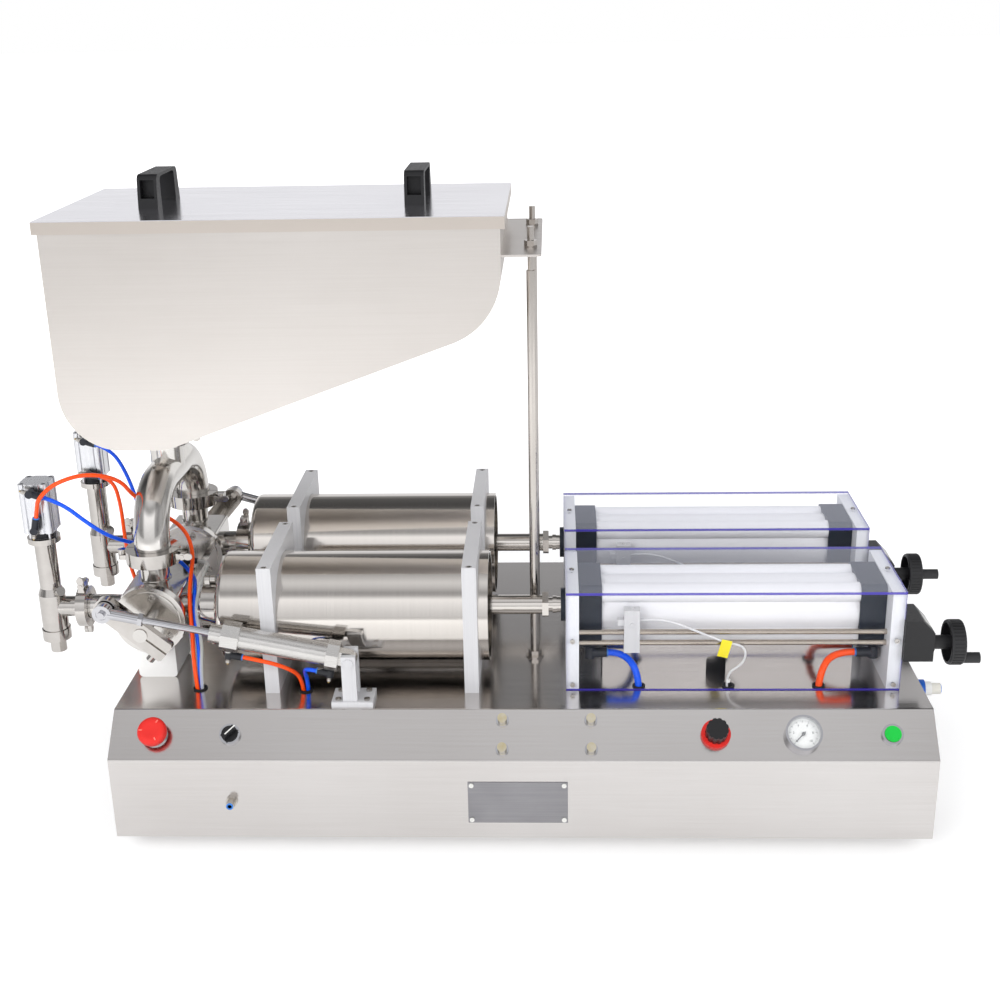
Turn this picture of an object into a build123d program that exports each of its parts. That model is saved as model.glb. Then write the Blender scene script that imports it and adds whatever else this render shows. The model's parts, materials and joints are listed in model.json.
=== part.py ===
from build123d import *
import math
import os

# Piston paste filling machine with two filling units side by side on one base
# cabinet. Millimetres, +Z up, +X to the handwheel end, front at -Y.
# The origin is the middle of the machine's footprint, on the floor.

# Base cabinet
CABINET_LENGTH = 1130
CABINET_DEPTH = 577
CABINET_LEFT = -530.5
CABINET_BACK = 294
FOOT_HEIGHT = 28
FOOT_RADIUS = 14
FOOT_INSET = 18
FOOT_SET_BACK = 62
FRONT_WALL = 121
SLOPE_RUN = 52.5
SLOPE_RISE = 51
SHEET = 2
BEND_RADIUS = 4

# Filling units
FRONT_UNIT_Y = -93.5
UNIT_PITCH = 242
AXIS_HEIGHT = 96
VALVE_X = -493.5

# Product cylinders and their saddles
VALVE_TO_CYLINDER = 100
CYLINDER_LENGTH = 384
CYLINDER_RADIUS = 80
CYLINDER_WALL = 4
CYLINDER_HEAD = 10
CYLINDER_EDGE = 8
LEFT_SADDLE_FROM_HEAD = 77
RIGHT_SADDLE_FROM_MOUTH = 24
SADDLE_THICKNESS = 20
SADDLE_SIDE_WALL = 10
SADDLE_TOP = 95
SADDLE_BOLT_RADIUS = 2.5
SADDLE_BOLT_HEAD = 4.25
SADDLE_BOLT_LENGTH = 130
SADDLE_BOLT_INSET = 6

# Pistons and piston rods
STROKE = 250
PISTON_THICKNESS = 36
PISTON_FROM_MOUTH = 14.5
SEAL_WIDTH = 5
SEAL_DEPTH = 5
SLEEVE_RADIUS = 14
SLEEVE_OVERHANG = 75.6
ROD_NUT_ACROSS = 34
ROD_NUT_HEIGHT = 9
BALL_JOINT_RADIUS = 12.5
BALL_JOINT_LENGTH = 17.5
DRIVE_ROD_RADIUS = 10

# Drive cylinders under their clear covers
COVER_LENGTH = 466
COVER_DEPTH = 166
COVER_HEIGHT = 150
COVER_SHEET = 4
COVER_FROM_CYLINDER = 109
END_PLATE = 18
CAP_SIZE = 95
CAP_CORNER = 8
LEFT_CAP = 33
RIGHT_CAP = 36
BARREL_RADIUS = 44
LOBE_RADIUS = 14
LOBE_OFFSET = 32.5
DRIVE_BORE = 40
DRIVE_PISTON = 25
BUSH_RADIUS = 24
BUSH_HEIGHT = 6.6
BUSH_NECK = 18
SUPPORT_WIDTH = 55
SUPPORT_SHEET = 3
SUPPORT_END_GAP = 2
NOTCH_WIDTH = 28
NOTCH_HEIGHT = 27
NOTCH_FROM_CAP = 165

# Stroke setting: guide rod, lead screw, sensor carrier, counter and handwheel
SETTING_OFFSET = -58.5
GUIDE_DROP = 16.5
SCREW_DROP = 33
GUIDE_RADIUS = 4
CARRIER_WIDTH = 22
CARRIER_DEPTH = 16
CARRIER_BOTTOM = 45.4
CARRIER_HEIGHT = 64.7
CARRIER_FROM_CAP = 30.5
SWITCH_SIZE = 9
COUNTER_LENGTH = 41
COUNTER_WIDTH = 60
COUNTER_BELOW = 17
COUNTER_ABOVE = 45
COUNTER_SLOPE_RUN = 17
COUNTER_SLOPE_RISE = 18
COUNTER_COLLAR = 6
HUB_RADIUS = 10
HUB_LENGTH = 27
WHEEL_RADIUS = 31.5
WHEEL_WIDTH = 20.5
WHEEL_GAP = 18.7
WHEEL_DISH = 13
WHEEL_RIM = 4
GRIP_RADIUS = 7.75
GRIP_LENGTH = 23.5
GRIP_OFFSET = 22
FRONT_GRIP_ANGLE = -147
REAR_GRIP_ANGLE = -68

# Hopper and lid
HOPPER_LEFT = -588.5
HOPPER_LENGTH = 605
HOPPER_DEPTH = 320
HOPPER_BOTTOM = 546.5
HOPPER_TOP = 858
HOPPER_FLAT = 141
HOPPER_SLOPE = 20.07
HOPPER_LEFT_BEND = 80
HOPPER_FLOOR_BEND = 60
HOPPER_RIGHT_BEND = 100
LID_OVERHANG = 6
LID_SIDE_OVERHANG = 3
LID_SKIRT = 17
LEFT_HANDLE_X = -466.5
RIGHT_HANDLE_X = -102.5
HANDLE_LENGTH = 120
HANDLE_WIDTH = 27
HANDLE_HEIGHT = 45
HANDLE_WALL = 4
HANDLE_SPAN = 76
OUTLET_RADIUS = 19
BRACKET_BEYOND_ROD = 15
BRACKET_LENGTH = 308
BRACKET_SHEET = 3
BRACKET_BELOW_TOP = 53
ROD_FROM_CYLINDER = 64
SUPPORT_ROD_SPACING = 184
SUPPORT_ROD_RADIUS = 6.5
SUPPORT_STUD_RADIUS = 4.5
SUPPORT_SLEEVE_TOP = 776
SUPPORT_STUD_TOP = 835

# Pipework and clamps
PIPE_RADIUS = 25.4
PIPE_WALL = 1.6
BRANCH_RADIUS = 24.5
ELBOW_RADIUS = 76
CROWN_Z = 466
OUTLET_JOINT_Z = 518
ELBOW_JOINT_Z = 378
CYLINDER_JOINT = 21
NOZZLE_JOINT = 108
ELBOW_FERRULE = 32
CYLINDER_FERRULE = 28.5
NOZZLE_FERRULE = 23
FERRULE_THICKNESS = 3
GASKET = 2
CLAMP_RIM = 7
CLAMP_WIDTH = 20
NOZZLE_CLAMP_WIDTH = 14
CLAMP_SPLIT = 1.5
CLAMP_BOLT_RADIUS = 3
LUG_REACH = 11

# Three-way valves
BLOCK_WIDTH = 84
BLOCK_HEIGHT = 68
BLOCK_FRONT = 39.5
BLOCK_REAR = 42.5
BLOCK_CORNER = 4
DISC_RADIUS = 51
DISC_THICKNESS = 13
RAISED_RADIUS = 44
RAISED_HEIGHT = 2
DISC_SCREW_CIRCLE = 36
ROTOR_RADIUS = 28
ROTOR_WALL = 3.5
PORT_BORE = 15
NECK_RADIUS = 20.5
LOWER_NECK_RADIUS = 18
LOWER_NECK_HEIGHT = 10
LIP_RADIUS = 22.5
LIP_HEIGHT = 1.5
NOZZLE_NECK_RADIUS = 17
SHAFT_RADIUS = 10
BRIDGE_THICKNESS = 16
FOOT_BLOCK_WIDTH = 56
FOOT_BLOCK_DEPTH = 78
FOOT_BLOCK_ROUND = 6

# Valve levers and the small cylinders that swing them
LEVER_ARM = 60
LEVER_TAIL = 45
LEVER_WIDTH = 32
LEVER_THICKNESS = 12.5
LEVER_FROM_AXIS = 89
LEVER_LEFT_ANGLE = 139
LEVER_RIGHT_ANGLE = 49
LEVER_SLIT = 3
CLAMP_SCREW_RADIUS = 6
SWING_FROM_AXIS = 111
PIVOT_X = -200.5
PIVOT_HEIGHT = 65.4
EYE_RADIUS = 13
EYE_THICKNESS = 14
EYE_BALL = 8
EYE_SHANK_RADIUS = 7.5
EYE_SHANK_LENGTH = 50
JAM_NUT_ACROSS = 17
JAM_NUT_HEIGHT = 6
SWING_ROD_RADIUS = 5
SWING_TUBE_RADIUS = 16
SWING_BORE = 14
SWING_CAP_ACROSS = 40
REAR_CAP_FROM_PIVOT = 15
REAR_CAP_LENGTH = 17
FRONT_CAP_FROM_PIVOT = 153.8
FRONT_CAP_LENGTH = 24.5
NOSE_RADIUS = 13
NOSE_LENGTH = 17.5
SWING_PISTON = 10
TONGUE_WIDTH = 16
TONGUE_RADIUS = 10
CLEVIS_BASE_LENGTH = 58
CLEVIS_BASE_DEPTH = 43
CLEVIS_BASE_HEIGHT = 8
CLEVIS_EAR_WIDTH = 20
CLEVIS_EAR = 8
CLEVIS_EAR_TOP = 10
CLEVIS_PIN_RADIUS = 5
CLEVIS_PIN_HEAD = 6.8

# Filling nozzles
NOZZLE_X = -650
TIP_RADIUS = 11.5
TIP_LENGTH = 19.7
TIP_BOTTOM = 26
TIP_BORE = 8
NOZZLE_NUT_RADIUS = 20.5
NOZZLE_NUT = 16.3
NOZZLE_BODY_RADIUS = 18.75
NOZZLE_BODY = 55
NOZZLE_CONE = 10.5
NOZZLE_TUBE_RADIUS = 15
NOZZLE_TUBE = 71.5
NOZZLE_FLANGE_RADIUS = 23
NOZZLE_FLANGE = 8
NOZZLE_BORE = 13
SEAL_RING_RADIUS = 16
SEAL_RING = 10
SQUARE_CYLINDER = 42
SQUARE_CYLINDER_HEIGHT = 74
SQUARE_CYLINDER_CORNER = 5
SENSOR_GROOVE = 11
SENSOR_GROOVE_WIDTH = 3
SENSOR_GROOVE_DEPTH = 2.2
CASE_SCREW = 15.5
CASE_SCREW_RADIUS = 2.8
CASE_SCREW_DEPTH = 4
LIFT_BORE = 15
PLUNGER_ROD = 4
NOZZLE_LIFT = 25

# Controls on the sloped panel, by their distance from its left or right end
STOP_FROM_LEFT = 61.7
SELECTOR_FROM_LEFT = 166.6
FLOW_FROM_LEFT = 541.7
FLOW_SPACING = 121.3
FLOW_ROW_SPACING = 41
REGULATOR_FROM_RIGHT = 298
GAUGE_FROM_RIGHT = 180
START_FROM_RIGHT = 60
PANEL_HOLE = 11
STOP_HEAD_RADIUS = 20
STOP_TRAVEL = 4
BEZEL_RADIUS = 14.5
BEZEL_HEIGHT = 5
CAP_RADIUS = 11.2
START_TRAVEL = 3
FLOW_SEAT_RADIUS = 9
FLOW_NECK = 5
FLOW_KNOB_RADIUS = 6.5
RED_NUT_RADIUS = 20
REGULATOR_NECK = 14
REGULATOR_KNOB_RADIUS = 15
REGULATOR_KNOB_HEIGHT = 30
GAUGE_RADIUS = 25
GAUGE_HEIGHT = 12
GAUGE_NECK = 20
NEEDLE_LENGTH = 16
NEEDLE_REST = 225

# Air fittings, tubes and grommets
THIN_TUBE = 3
DRIVE_TUBE = 5
CABLE_RADIUS = 1.6
HOSE_RADIUS = 2.5
GROMMET_RADIUS = 10
GROMMET_BORE = 7.5
DRIVE_GROMMET_RADIUS = 9
DRIVE_GROMMET_BORE = 6.5
GROMMET_LIP = 2
GROMMET_NECK = 1.5
INLET_Z = 180
INLET_Y = -133
INLET_LENGTH = 35
PEDAL_FROM_LEFT = 167
PEDAL_Z = 85.8
PEDAL_LENGTH = 14
TUBE_TAIL = 12

# Clearances
RUNNING_GAP = 0.1
BORE_GAP = 0.3
FACE_GAP = 0.3
SEAT_GAP = 0.2

# Places worked out from the sizes above
CABINET_RIGHT = CABINET_LEFT + CABINET_LENGTH
CABINET_FRONT = CABINET_BACK - CABINET_DEPTH
STOP_X = CABINET_LEFT + STOP_FROM_LEFT
SELECTOR_X = CABINET_LEFT + SELECTOR_FROM_LEFT
FLOW_LEFT_X = CABINET_LEFT + FLOW_FROM_LEFT
FLOW_RIGHT_X = FLOW_LEFT_X + FLOW_SPACING
REGULATOR_X = CABINET_RIGHT - REGULATOR_FROM_RIGHT
GAUGE_X = CABINET_RIGHT - GAUGE_FROM_RIGHT
START_X = CABINET_RIGHT - START_FROM_RIGHT
PEDAL_X = CABINET_LEFT + PEDAL_FROM_LEFT
WALL_TOP = FOOT_HEIGHT + FRONT_WALL
DECK_Z = WALL_TOP + SLOPE_RISE
SLOPE_LENGTH = math.hypot(SLOPE_RUN, SLOPE_RISE)
AXIS_Z = DECK_Z + AXIS_HEIGHT
REAR_UNIT_Y = FRONT_UNIT_Y + UNIT_PITCH
MIDDLE_Y = (FRONT_UNIT_Y + REAR_UNIT_Y) / 2
# Each unit: its name, its axis and the side on which its lever hangs
UNITS = (("front", FRONT_UNIT_Y, -1), ("rear", REAR_UNIT_Y, 1))
CYLINDER_LEFT = VALVE_X + VALVE_TO_CYLINDER
CYLINDER_RIGHT = CYLINDER_LEFT + CYLINDER_LENGTH
CYLINDER_BORE = CYLINDER_RADIUS - CYLINDER_WALL
SUPPORT_ROD_X = CYLINDER_RIGHT + ROD_FROM_CYLINDER
SADDLE_HALF = CYLINDER_RADIUS + SADDLE_SIDE_WALL
SADDLE_XS = (CYLINDER_LEFT + LEFT_SADDLE_FROM_HEAD, CYLINDER_RIGHT - RIGHT_SADDLE_FROM_MOUTH)
COVER_LEFT = CYLINDER_RIGHT + COVER_FROM_CYLINDER
COVER_RIGHT = COVER_LEFT + COVER_LENGTH
COVER_TOP = DECK_Z + COVER_HEIGHT
PLATE_HALF = COVER_DEPTH / 2 - COVER_SHEET
PLATE_TOP = COVER_TOP - COVER_SHEET
LEFT_CAP_X = COVER_LEFT + END_PLATE
RIGHT_CAP_X = COVER_RIGHT - END_PLATE
BARREL_LEFT = LEFT_CAP_X + LEFT_CAP
BARREL_RIGHT = RIGHT_CAP_X - RIGHT_CAP
GUIDE_Z = AXIS_Z - GUIDE_DROP
SCREW_Z = AXIS_Z - SCREW_DROP
HOPPER_RIGHT = HOPPER_LEFT + HOPPER_LENGTH
LID_TOP = HOPPER_TOP + SHEET
BRACKET_Z = HOPPER_TOP - BRACKET_BELOW_TOP
CYLINDER_JOINT_X = CYLINDER_LEFT - CYLINDER_JOINT
NOZZLE_JOINT_X = VALVE_X - NOZZLE_JOINT
BLOCK_TOP = AXIS_Z + BLOCK_HEIGHT / 2
BLOCK_BOTTOM = AXIS_Z - BLOCK_HEIGHT / 2
PIVOT_Z = DECK_Z + PIVOT_HEIGHT
LINKAGE_GROMMET_X = -270.5
LINKAGE_GROMMET_OFFSET = 80.5
CLEAR_HOSE_PORT = (VALVE_X + 26, FRONT_UNIT_Y + 68.5, AXIS_Z + BLOCK_HEIGHT / 2)
NOZZLE_GROMMETS = {"front": (-423.5, FRONT_UNIT_Y - 75.5), "rear": (-440, REAR_UNIT_Y - 85.5)}
DRIVE_GROMMET_OFFSET = SETTING_OFFSET - 11


def block(x_span, y_span, z_span):
    """A rectangular block between two limits along each axis."""
    spans = (x_span, y_span, z_span)
    size = [span[1] - span[0] for span in spans]
    middle = [(span[1] + span[0]) / 2 for span in spans]
    return Pos(*middle) * Box(*size)


def stepped_bar(start, direction, steps):
    """Round steps of (length, radius), one after another along a direction."""
    way = Vector(*direction).normalized()
    place = Vector(*start)
    bar = Part()
    for length, radius in steps:
        bar += extrude(Plane(origin=place, z_dir=way) * Circle(radius), length)
        place = place + way * length
    return bar


def bar_between(start, end, radius):
    """A round bar from one point to another."""
    way = Vector(*end) - Vector(*start)
    return stepped_bar(start, tuple(way), [(way.length, radius)])


def hexagon(start, direction, across, height, bore):
    """A hexagon nut with its face at a point and its axis along a direction."""
    plane = Plane(origin=start, z_dir=direction)
    outline = RegularPolygon(across / 2, 6, major_radius=False) - Circle(bore)
    return extrude(plane * outline, height)


def ring(start, direction, outer, inner, height):
    """A flat ring or a tube with its face at a point."""
    plane = Plane(origin=start, z_dir=direction)
    return extrude(plane * (Circle(outer) - Circle(inner)), height)


def upright_plane(y):
    """A plane across the machine at a depth, with x to the right and y up."""
    return Plane(origin=(0, y, 0), x_dir=(1, 0, 0), z_dir=(0, -1, 0))


def slab(outline, y_span):
    """An outline drawn in X and Z, made solid between two depths."""
    low, high = sorted(y_span)
    return extrude(upright_plane(high) * outline, high - low)


def length_slab(outline, x_span):
    """An outline drawn in Y and Z, made solid between two places along X."""
    plane = Plane(origin=(x_span[0], 0, 0), x_dir=(0, 1, 0), z_dir=(1, 0, 0))
    return extrude(plane * outline, x_span[1] - x_span[0])


def sheet_rectangle(width, height, corner):
    """A rectangle with rounded corners, centred on its plane."""
    return RectangleRounded(width, height, corner)


def on_slope(x, offset=0):
    """A plane on the sloped panel, offset up the slope from its middle."""
    along = SLOPE_LENGTH / 2 + offset
    y = CABINET_FRONT + along * SLOPE_RUN / SLOPE_LENGTH
    z = WALL_TOP + along * SLOPE_RISE / SLOPE_LENGTH
    return Plane(origin=(x, y, z), x_dir=(1, 0, 0), z_dir=(0, -SLOPE_RISE, SLOPE_RUN))


def turned(plane, steps, start=0):
    """Round steps of (length, radius) standing on a plane."""
    bar = Part()
    height = start
    for length, radius in steps:
        bar += plane * Pos(0, 0, height) * extrude(Circle(radius), length)
        height += length
    return bar


def flow_places():
    """The four flow controls: two columns of two."""
    rows = (FLOW_ROW_SPACING / 2, -FLOW_ROW_SPACING / 2)
    return [(x, row) for row in rows for x in (FLOW_LEFT_X, FLOW_RIGHT_X)]


def drive_grommets():
    """Where the tubes and the cable of one drive go through the deck."""
    return (LEFT_CAP_X + 85, NOTCH_FROM_CAP + BARREL_LEFT + 13, RIGHT_CAP_X - 92)


def grommet_places():
    """All holes in the deck that carry a tube or a cable: place, radius and bore."""
    places = []
    for name, y, side in UNITS:
        wide = (GROMMET_RADIUS, GROMMET_BORE)
        places.append((*NOZZLE_GROMMETS[name], *wide))
        places.append((LINKAGE_GROMMET_X, y + side * LINKAGE_GROMMET_OFFSET, *wide))
        for x in drive_grommets():
            places.append((x, y + DRIVE_GROMMET_OFFSET, DRIVE_GROMMET_RADIUS, DRIVE_GROMMET_BORE))
    return places


def cabinet_outline():
    """The side outline of the cabinet, with its sloped control panel."""
    corners = [
        (CABINET_FRONT, FOOT_HEIGHT),
        (CABINET_FRONT, WALL_TOP),
        (CABINET_FRONT + SLOPE_RUN, DECK_Z),
        (CABINET_BACK, DECK_Z),
        (CABINET_BACK, FOOT_HEIGHT),
    ]
    outline = make_face(Polyline(*corners, close=True))
    bends = outline.vertices().sort_by(Axis.X)
    front_bends = [v for v in bends if v.Y > FOOT_HEIGHT + 1 and v.X < CABINET_BACK - 1]
    return fillet(front_bends, BEND_RADIUS)


def base_cabinet():
    """The folded sheet cabinet, hollow, with every hole in its panels."""
    outline = cabinet_outline()
    cabinet = length_slab(outline, (CABINET_LEFT, CABINET_RIGHT))
    inside = offset(outline, amount=-SHEET)
    cabinet -= length_slab(inside, (CABINET_LEFT + SHEET, CABINET_RIGHT - SHEET))
    for x in (STOP_X, SELECTOR_X, START_X):
        cabinet -= turned(on_slope(x), [(6 * SHEET, PANEL_HOLE)], -3 * SHEET)
    for x, row in flow_places():
        cabinet -= turned(on_slope(x, row), [(6 * SHEET, FLOW_NECK + BORE_GAP)], -3 * SHEET)
    cabinet -= turned(on_slope(REGULATOR_X), [(6 * SHEET, REGULATOR_NECK + BORE_GAP)], -3 * SHEET)
    cabinet -= turned(on_slope(GAUGE_X), [(6 * SHEET, GAUGE_NECK + BORE_GAP)], -3 * SHEET)
    for x, y, radius, bore in grommet_places():
        start = (x, y, DECK_Z - 2 * SHEET)
        cabinet -= stepped_bar(start, (0, 0, 1), [(4 * SHEET, radius - GROMMET_NECK + SEAT_GAP)])
    for y in support_rod_ys():
        start = (SUPPORT_ROD_X, y, DECK_Z - 2 * SHEET)
        cabinet -= stepped_bar(start, (0, 0, 1), [(4 * SHEET, SUPPORT_STUD_RADIUS + BORE_GAP)])
    wall = (CABINET_RIGHT - 2 * SHEET, INLET_Y, INLET_Z)
    cabinet -= stepped_bar(wall, (1, 0, 0), [(4 * SHEET, FLOW_NECK + BORE_GAP)])
    wall = (PEDAL_X, CABINET_FRONT - 2 * SHEET, PEDAL_Z)
    cabinet -= stepped_bar(wall, (0, 1, 0), [(4 * SHEET, FLOW_NECK + BORE_GAP)])
    return [cabinet]


def rubber_feet():
    """Four turned rubber feet under the corners."""
    feet = []
    for x in (CABINET_LEFT + FOOT_INSET, CABINET_RIGHT - FOOT_INSET):
        for y in (CABINET_FRONT + FOOT_SET_BACK, CABINET_BACK - FOOT_SET_BACK):
            foot = Pos(x, y, FOOT_HEIGHT / 2) * Cone(FOOT_RADIUS - 3, FOOT_RADIUS, FOOT_HEIGHT)
            feet.append(foot)
    return feet


def deck_grommets():
    """Rubber rings that line the holes in the deck."""
    rings = []
    for x, y, radius, bore in grommet_places():
        steps = [(GROMMET_LIP, radius), (SHEET, radius - GROMMET_NECK), (GROMMET_LIP, radius)]
        grommet = stepped_bar((x, y, DECK_Z + GROMMET_LIP), (0, 0, -1), steps)
        grommet -= stepped_bar((x, y, DECK_Z + 9), (0, 0, -1), [(20, bore)])
        rings.append(grommet)
    return rings


def saddle_outline(low, high):
    """One half of a saddle plate, cut away round the product cylinder."""
    middle = (low + high) / 2
    plate = Pos(0, middle) * Rectangle(2 * SADDLE_HALF, high - low)
    return plate - Pos(0, AXIS_Z) * Circle(CYLINDER_RADIUS + SEAT_GAP)


def saddle_bolt_ys(y):
    """Where the two long bolts of a saddle stand."""
    return (y - SADDLE_HALF + SADDLE_BOLT_INSET, y + SADDLE_HALF - SADDLE_BOLT_INSET)


def saddle_half(x, y, low, high):
    """One half of a saddle with its bolt holes."""
    span = (x - SADDLE_THICKNESS / 2, x + SADDLE_THICKNESS / 2)
    plate = length_slab(Pos(y, 0) * saddle_outline(low, high), span)
    head_z = AXIS_Z + SADDLE_TOP - SADDLE_BOLT_HEAD
    for bolt_y in saddle_bolt_ys(y):
        steps = [(SADDLE_BOLT_LENGTH, SADDLE_BOLT_RADIUS + BORE_GAP)]
        plate -= stepped_bar((x, bolt_y, head_z), (0, 0, -1), steps)
        steps = [(2 * SADDLE_BOLT_HEAD, SADDLE_BOLT_HEAD + BORE_GAP)]
        plate -= stepped_bar((x, bolt_y, head_z), (0, 0, 1), steps)
    return plate


def cylinder_saddles():
    """Four saddles round the product cylinders, each in two halves."""
    halves = []
    for name, y, side in UNITS:
        for x in SADDLE_XS:
            halves.append(saddle_half(x, y, DECK_Z, AXIS_Z))
            halves.append(saddle_half(x, y, AXIS_Z, AXIS_Z + SADDLE_TOP))
    return halves


def product_cylinder(y):
    """One paste cylinder, open to the right, with its ferrule on the left."""
    bore = CYLINDER_BORE
    neck = CYLINDER_JOINT - GASKET / 2
    outline = make_face(Polyline(
        (CYLINDER_LEFT - neck, PORT_BORE),
        (CYLINDER_LEFT - neck, CYLINDER_FERRULE),
        (CYLINDER_LEFT - neck + FERRULE_THICKNESS, CYLINDER_FERRULE),
        (CYLINDER_LEFT - neck + FERRULE_THICKNESS, NECK_RADIUS),
        (CYLINDER_LEFT, NECK_RADIUS),
        (CYLINDER_LEFT, CYLINDER_RADIUS),
        (CYLINDER_RIGHT, CYLINDER_RADIUS),
        (CYLINDER_RIGHT, bore),
        (CYLINDER_LEFT + CYLINDER_HEAD, bore),
        (CYLINDER_LEFT + CYLINDER_HEAD, PORT_BORE),
        close=True,
    ))
    edge = [v for v in outline.vertices() if v.X < CYLINDER_LEFT + 1 and v.Y > CYLINDER_RADIUS - 1]
    outline = fillet(edge, CYLINDER_EDGE)
    shell = revolve(Plane.XZ * outline, axis=Axis.X)
    return Pos(0, y, AXIS_Z) * shell


def product_cylinders():
    """The two paste cylinders."""
    return [product_cylinder(y) for name, y, side in UNITS]


def piston_rod(y):
    """Product piston, seals, sleeve, nut, ball joint, drive rod and drive piston."""
    along = (1, 0, 0)
    right = CYLINDER_RIGHT - PISTON_FROM_MOUTH
    left = right - PISTON_THICKNESS
    head = CYLINDER_BORE - 0.5
    land = (PISTON_THICKNESS - 2 * SEAL_WIDTH) / 3
    groove = head - SEAL_DEPTH
    steps = [(land, head), (SEAL_WIDTH, groove), (land, head), (SEAL_WIDTH, groove), (land, head)]
    piston = stepped_bar((left, y, AXIS_Z), along, steps)
    seals = []
    for start in (left + land, left + 2 * land + SEAL_WIDTH):
        seal = ring((start, y, AXIS_Z), along, CYLINDER_BORE - RUNNING_GAP, groove, SEAL_WIDTH)
        seals.append(seal)
    nut_x = CYLINDER_RIGHT + SLEEVE_OVERHANG
    sleeve = stepped_bar((right, y, AXIS_Z), along, [(nut_x - right, SLEEVE_RADIUS)])
    nut = hexagon((nut_x, y, AXIS_Z), along, ROD_NUT_ACROSS, ROD_NUT_HEIGHT, DRIVE_ROD_RADIUS / 2)
    joint_x = nut_x + ROD_NUT_HEIGHT
    third = BALL_JOINT_LENGTH / 3
    ball_steps = [(third, BALL_JOINT_RADIUS - 2), (third, BALL_JOINT_RADIUS), (third, BALL_JOINT_RADIUS - 1)]
    ball = stepped_bar((joint_x, y, AXIS_Z), along, ball_steps)
    rod_x = joint_x + BALL_JOINT_LENGTH
    rod_end = BARREL_RIGHT - FACE_GAP - 6
    rod = stepped_bar((rod_x, y, AXIS_Z), along, [(rod_end - DRIVE_PISTON - rod_x, DRIVE_ROD_RADIUS)])
    disc_x = rod_end - DRIVE_PISTON
    disc = stepped_bar((disc_x, y, AXIS_Z), along, [(DRIVE_PISTON, DRIVE_BORE - BORE_GAP)])
    return [piston, *seals, sleeve, nut, ball, rod, disc]


def cap_outline(y):
    """The rounded square of a drive cylinder's cap."""
    return Pos(y, AXIS_Z) * sheet_rectangle(CAP_SIZE, CAP_SIZE, CAP_CORNER)


def drive_end_caps():
    """Cast caps of both drive cylinders and the bush round each rod."""
    pieces = []
    for name, y, side in UNITS:
        left = length_slab(cap_outline(y), (LEFT_CAP_X, BARREL_LEFT))
        steps = [(LEFT_CAP + 2, DRIVE_ROD_RADIUS + BORE_GAP)]
        left -= stepped_bar((LEFT_CAP_X - 1, y, AXIS_Z), (1, 0, 0), steps)
        right = length_slab(cap_outline(y), (BARREL_RIGHT, RIGHT_CAP_X))
        steps = [(BUSH_HEIGHT, BUSH_RADIUS), (END_PLATE, BUSH_NECK)]
        bush = stepped_bar((COVER_LEFT - BUSH_HEIGHT, y, AXIS_Z), (1, 0, 0), steps)
        steps = [(BUSH_HEIGHT + END_PLATE + 2, DRIVE_ROD_RADIUS + RUNNING_GAP)]
        bush -= stepped_bar((COVER_LEFT - BUSH_HEIGHT - 1, y, AXIS_Z), (1, 0, 0), steps)
        pieces += [left, right, bush]
    return pieces


def drive_barrels():
    """Profiled barrels: a round body with a lobe at each corner for a tie rod."""
    outline = Circle(BARREL_RADIUS)
    for across in (-LOBE_OFFSET, LOBE_OFFSET):
        for up in (-LOBE_OFFSET, LOBE_OFFSET):
            outline += Pos(across, up) * Circle(LOBE_RADIUS)
    outline -= Circle(DRIVE_BORE)
    span = (BARREL_LEFT, BARREL_RIGHT)
    return [length_slab(Pos(y, AXIS_Z) * outline, span) for name, y, side in UNITS]


def drive_support_channels():
    """Folded channels that carry the barrels, with a rounded cable notch."""
    channels = []
    top = AXIS_Z - LOBE_OFFSET - LOBE_RADIUS - FACE_GAP
    span = (BARREL_LEFT + SUPPORT_END_GAP, BARREL_RIGHT - SUPPORT_END_GAP)
    notch_x = BARREL_LEFT + NOTCH_FROM_CAP
    for name, y, side in UNITS:
        half = SUPPORT_WIDTH / 2
        channel = block(span, (y - half, y + half), (DECK_Z, top))
        inner = half - SUPPORT_SHEET
        channel -= block((span[0] - 1, span[1] + 1), (y - inner, y + inner), (DECK_Z - 1, top - SUPPORT_SHEET))
        straight = NOTCH_HEIGHT - NOTCH_WIDTH / 4
        notch = Pos(notch_x, DECK_Z + straight / 2) * Rectangle(NOTCH_WIDTH, straight)
        notch += Pos(notch_x, DECK_Z + straight) * Ellipse(NOTCH_WIDTH / 2, NOTCH_WIDTH / 4)
        channel -= slab(notch, (y - half - 1, y - inner + 1))
        channels.append(channel)
    return channels


def cover_screw_places(y):
    """The screws of one clear cover: place and outward direction."""
    places = []
    for x in (COVER_LEFT + END_PLATE / 2, COVER_RIGHT - END_PLATE / 2):
        places.append(((x, y, COVER_TOP), (0, 0, 1)))
        for side in (-1, 1):
            for z in (DECK_Z + COVER_HEIGHT * 0.06, DECK_Z + COVER_HEIGHT * 0.51):
                places.append(((x, y + side * COVER_DEPTH / 2, z), (0, side, 0)))
    return places


def cover_drill(place, radius, depth):
    """The hole of one cover screw, from the outside inwards."""
    point, way = place
    start = tuple(point[i] + way[i] for i in range(3))
    return stepped_bar(start, tuple(-w for w in way), [(depth + 1, radius)])


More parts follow.
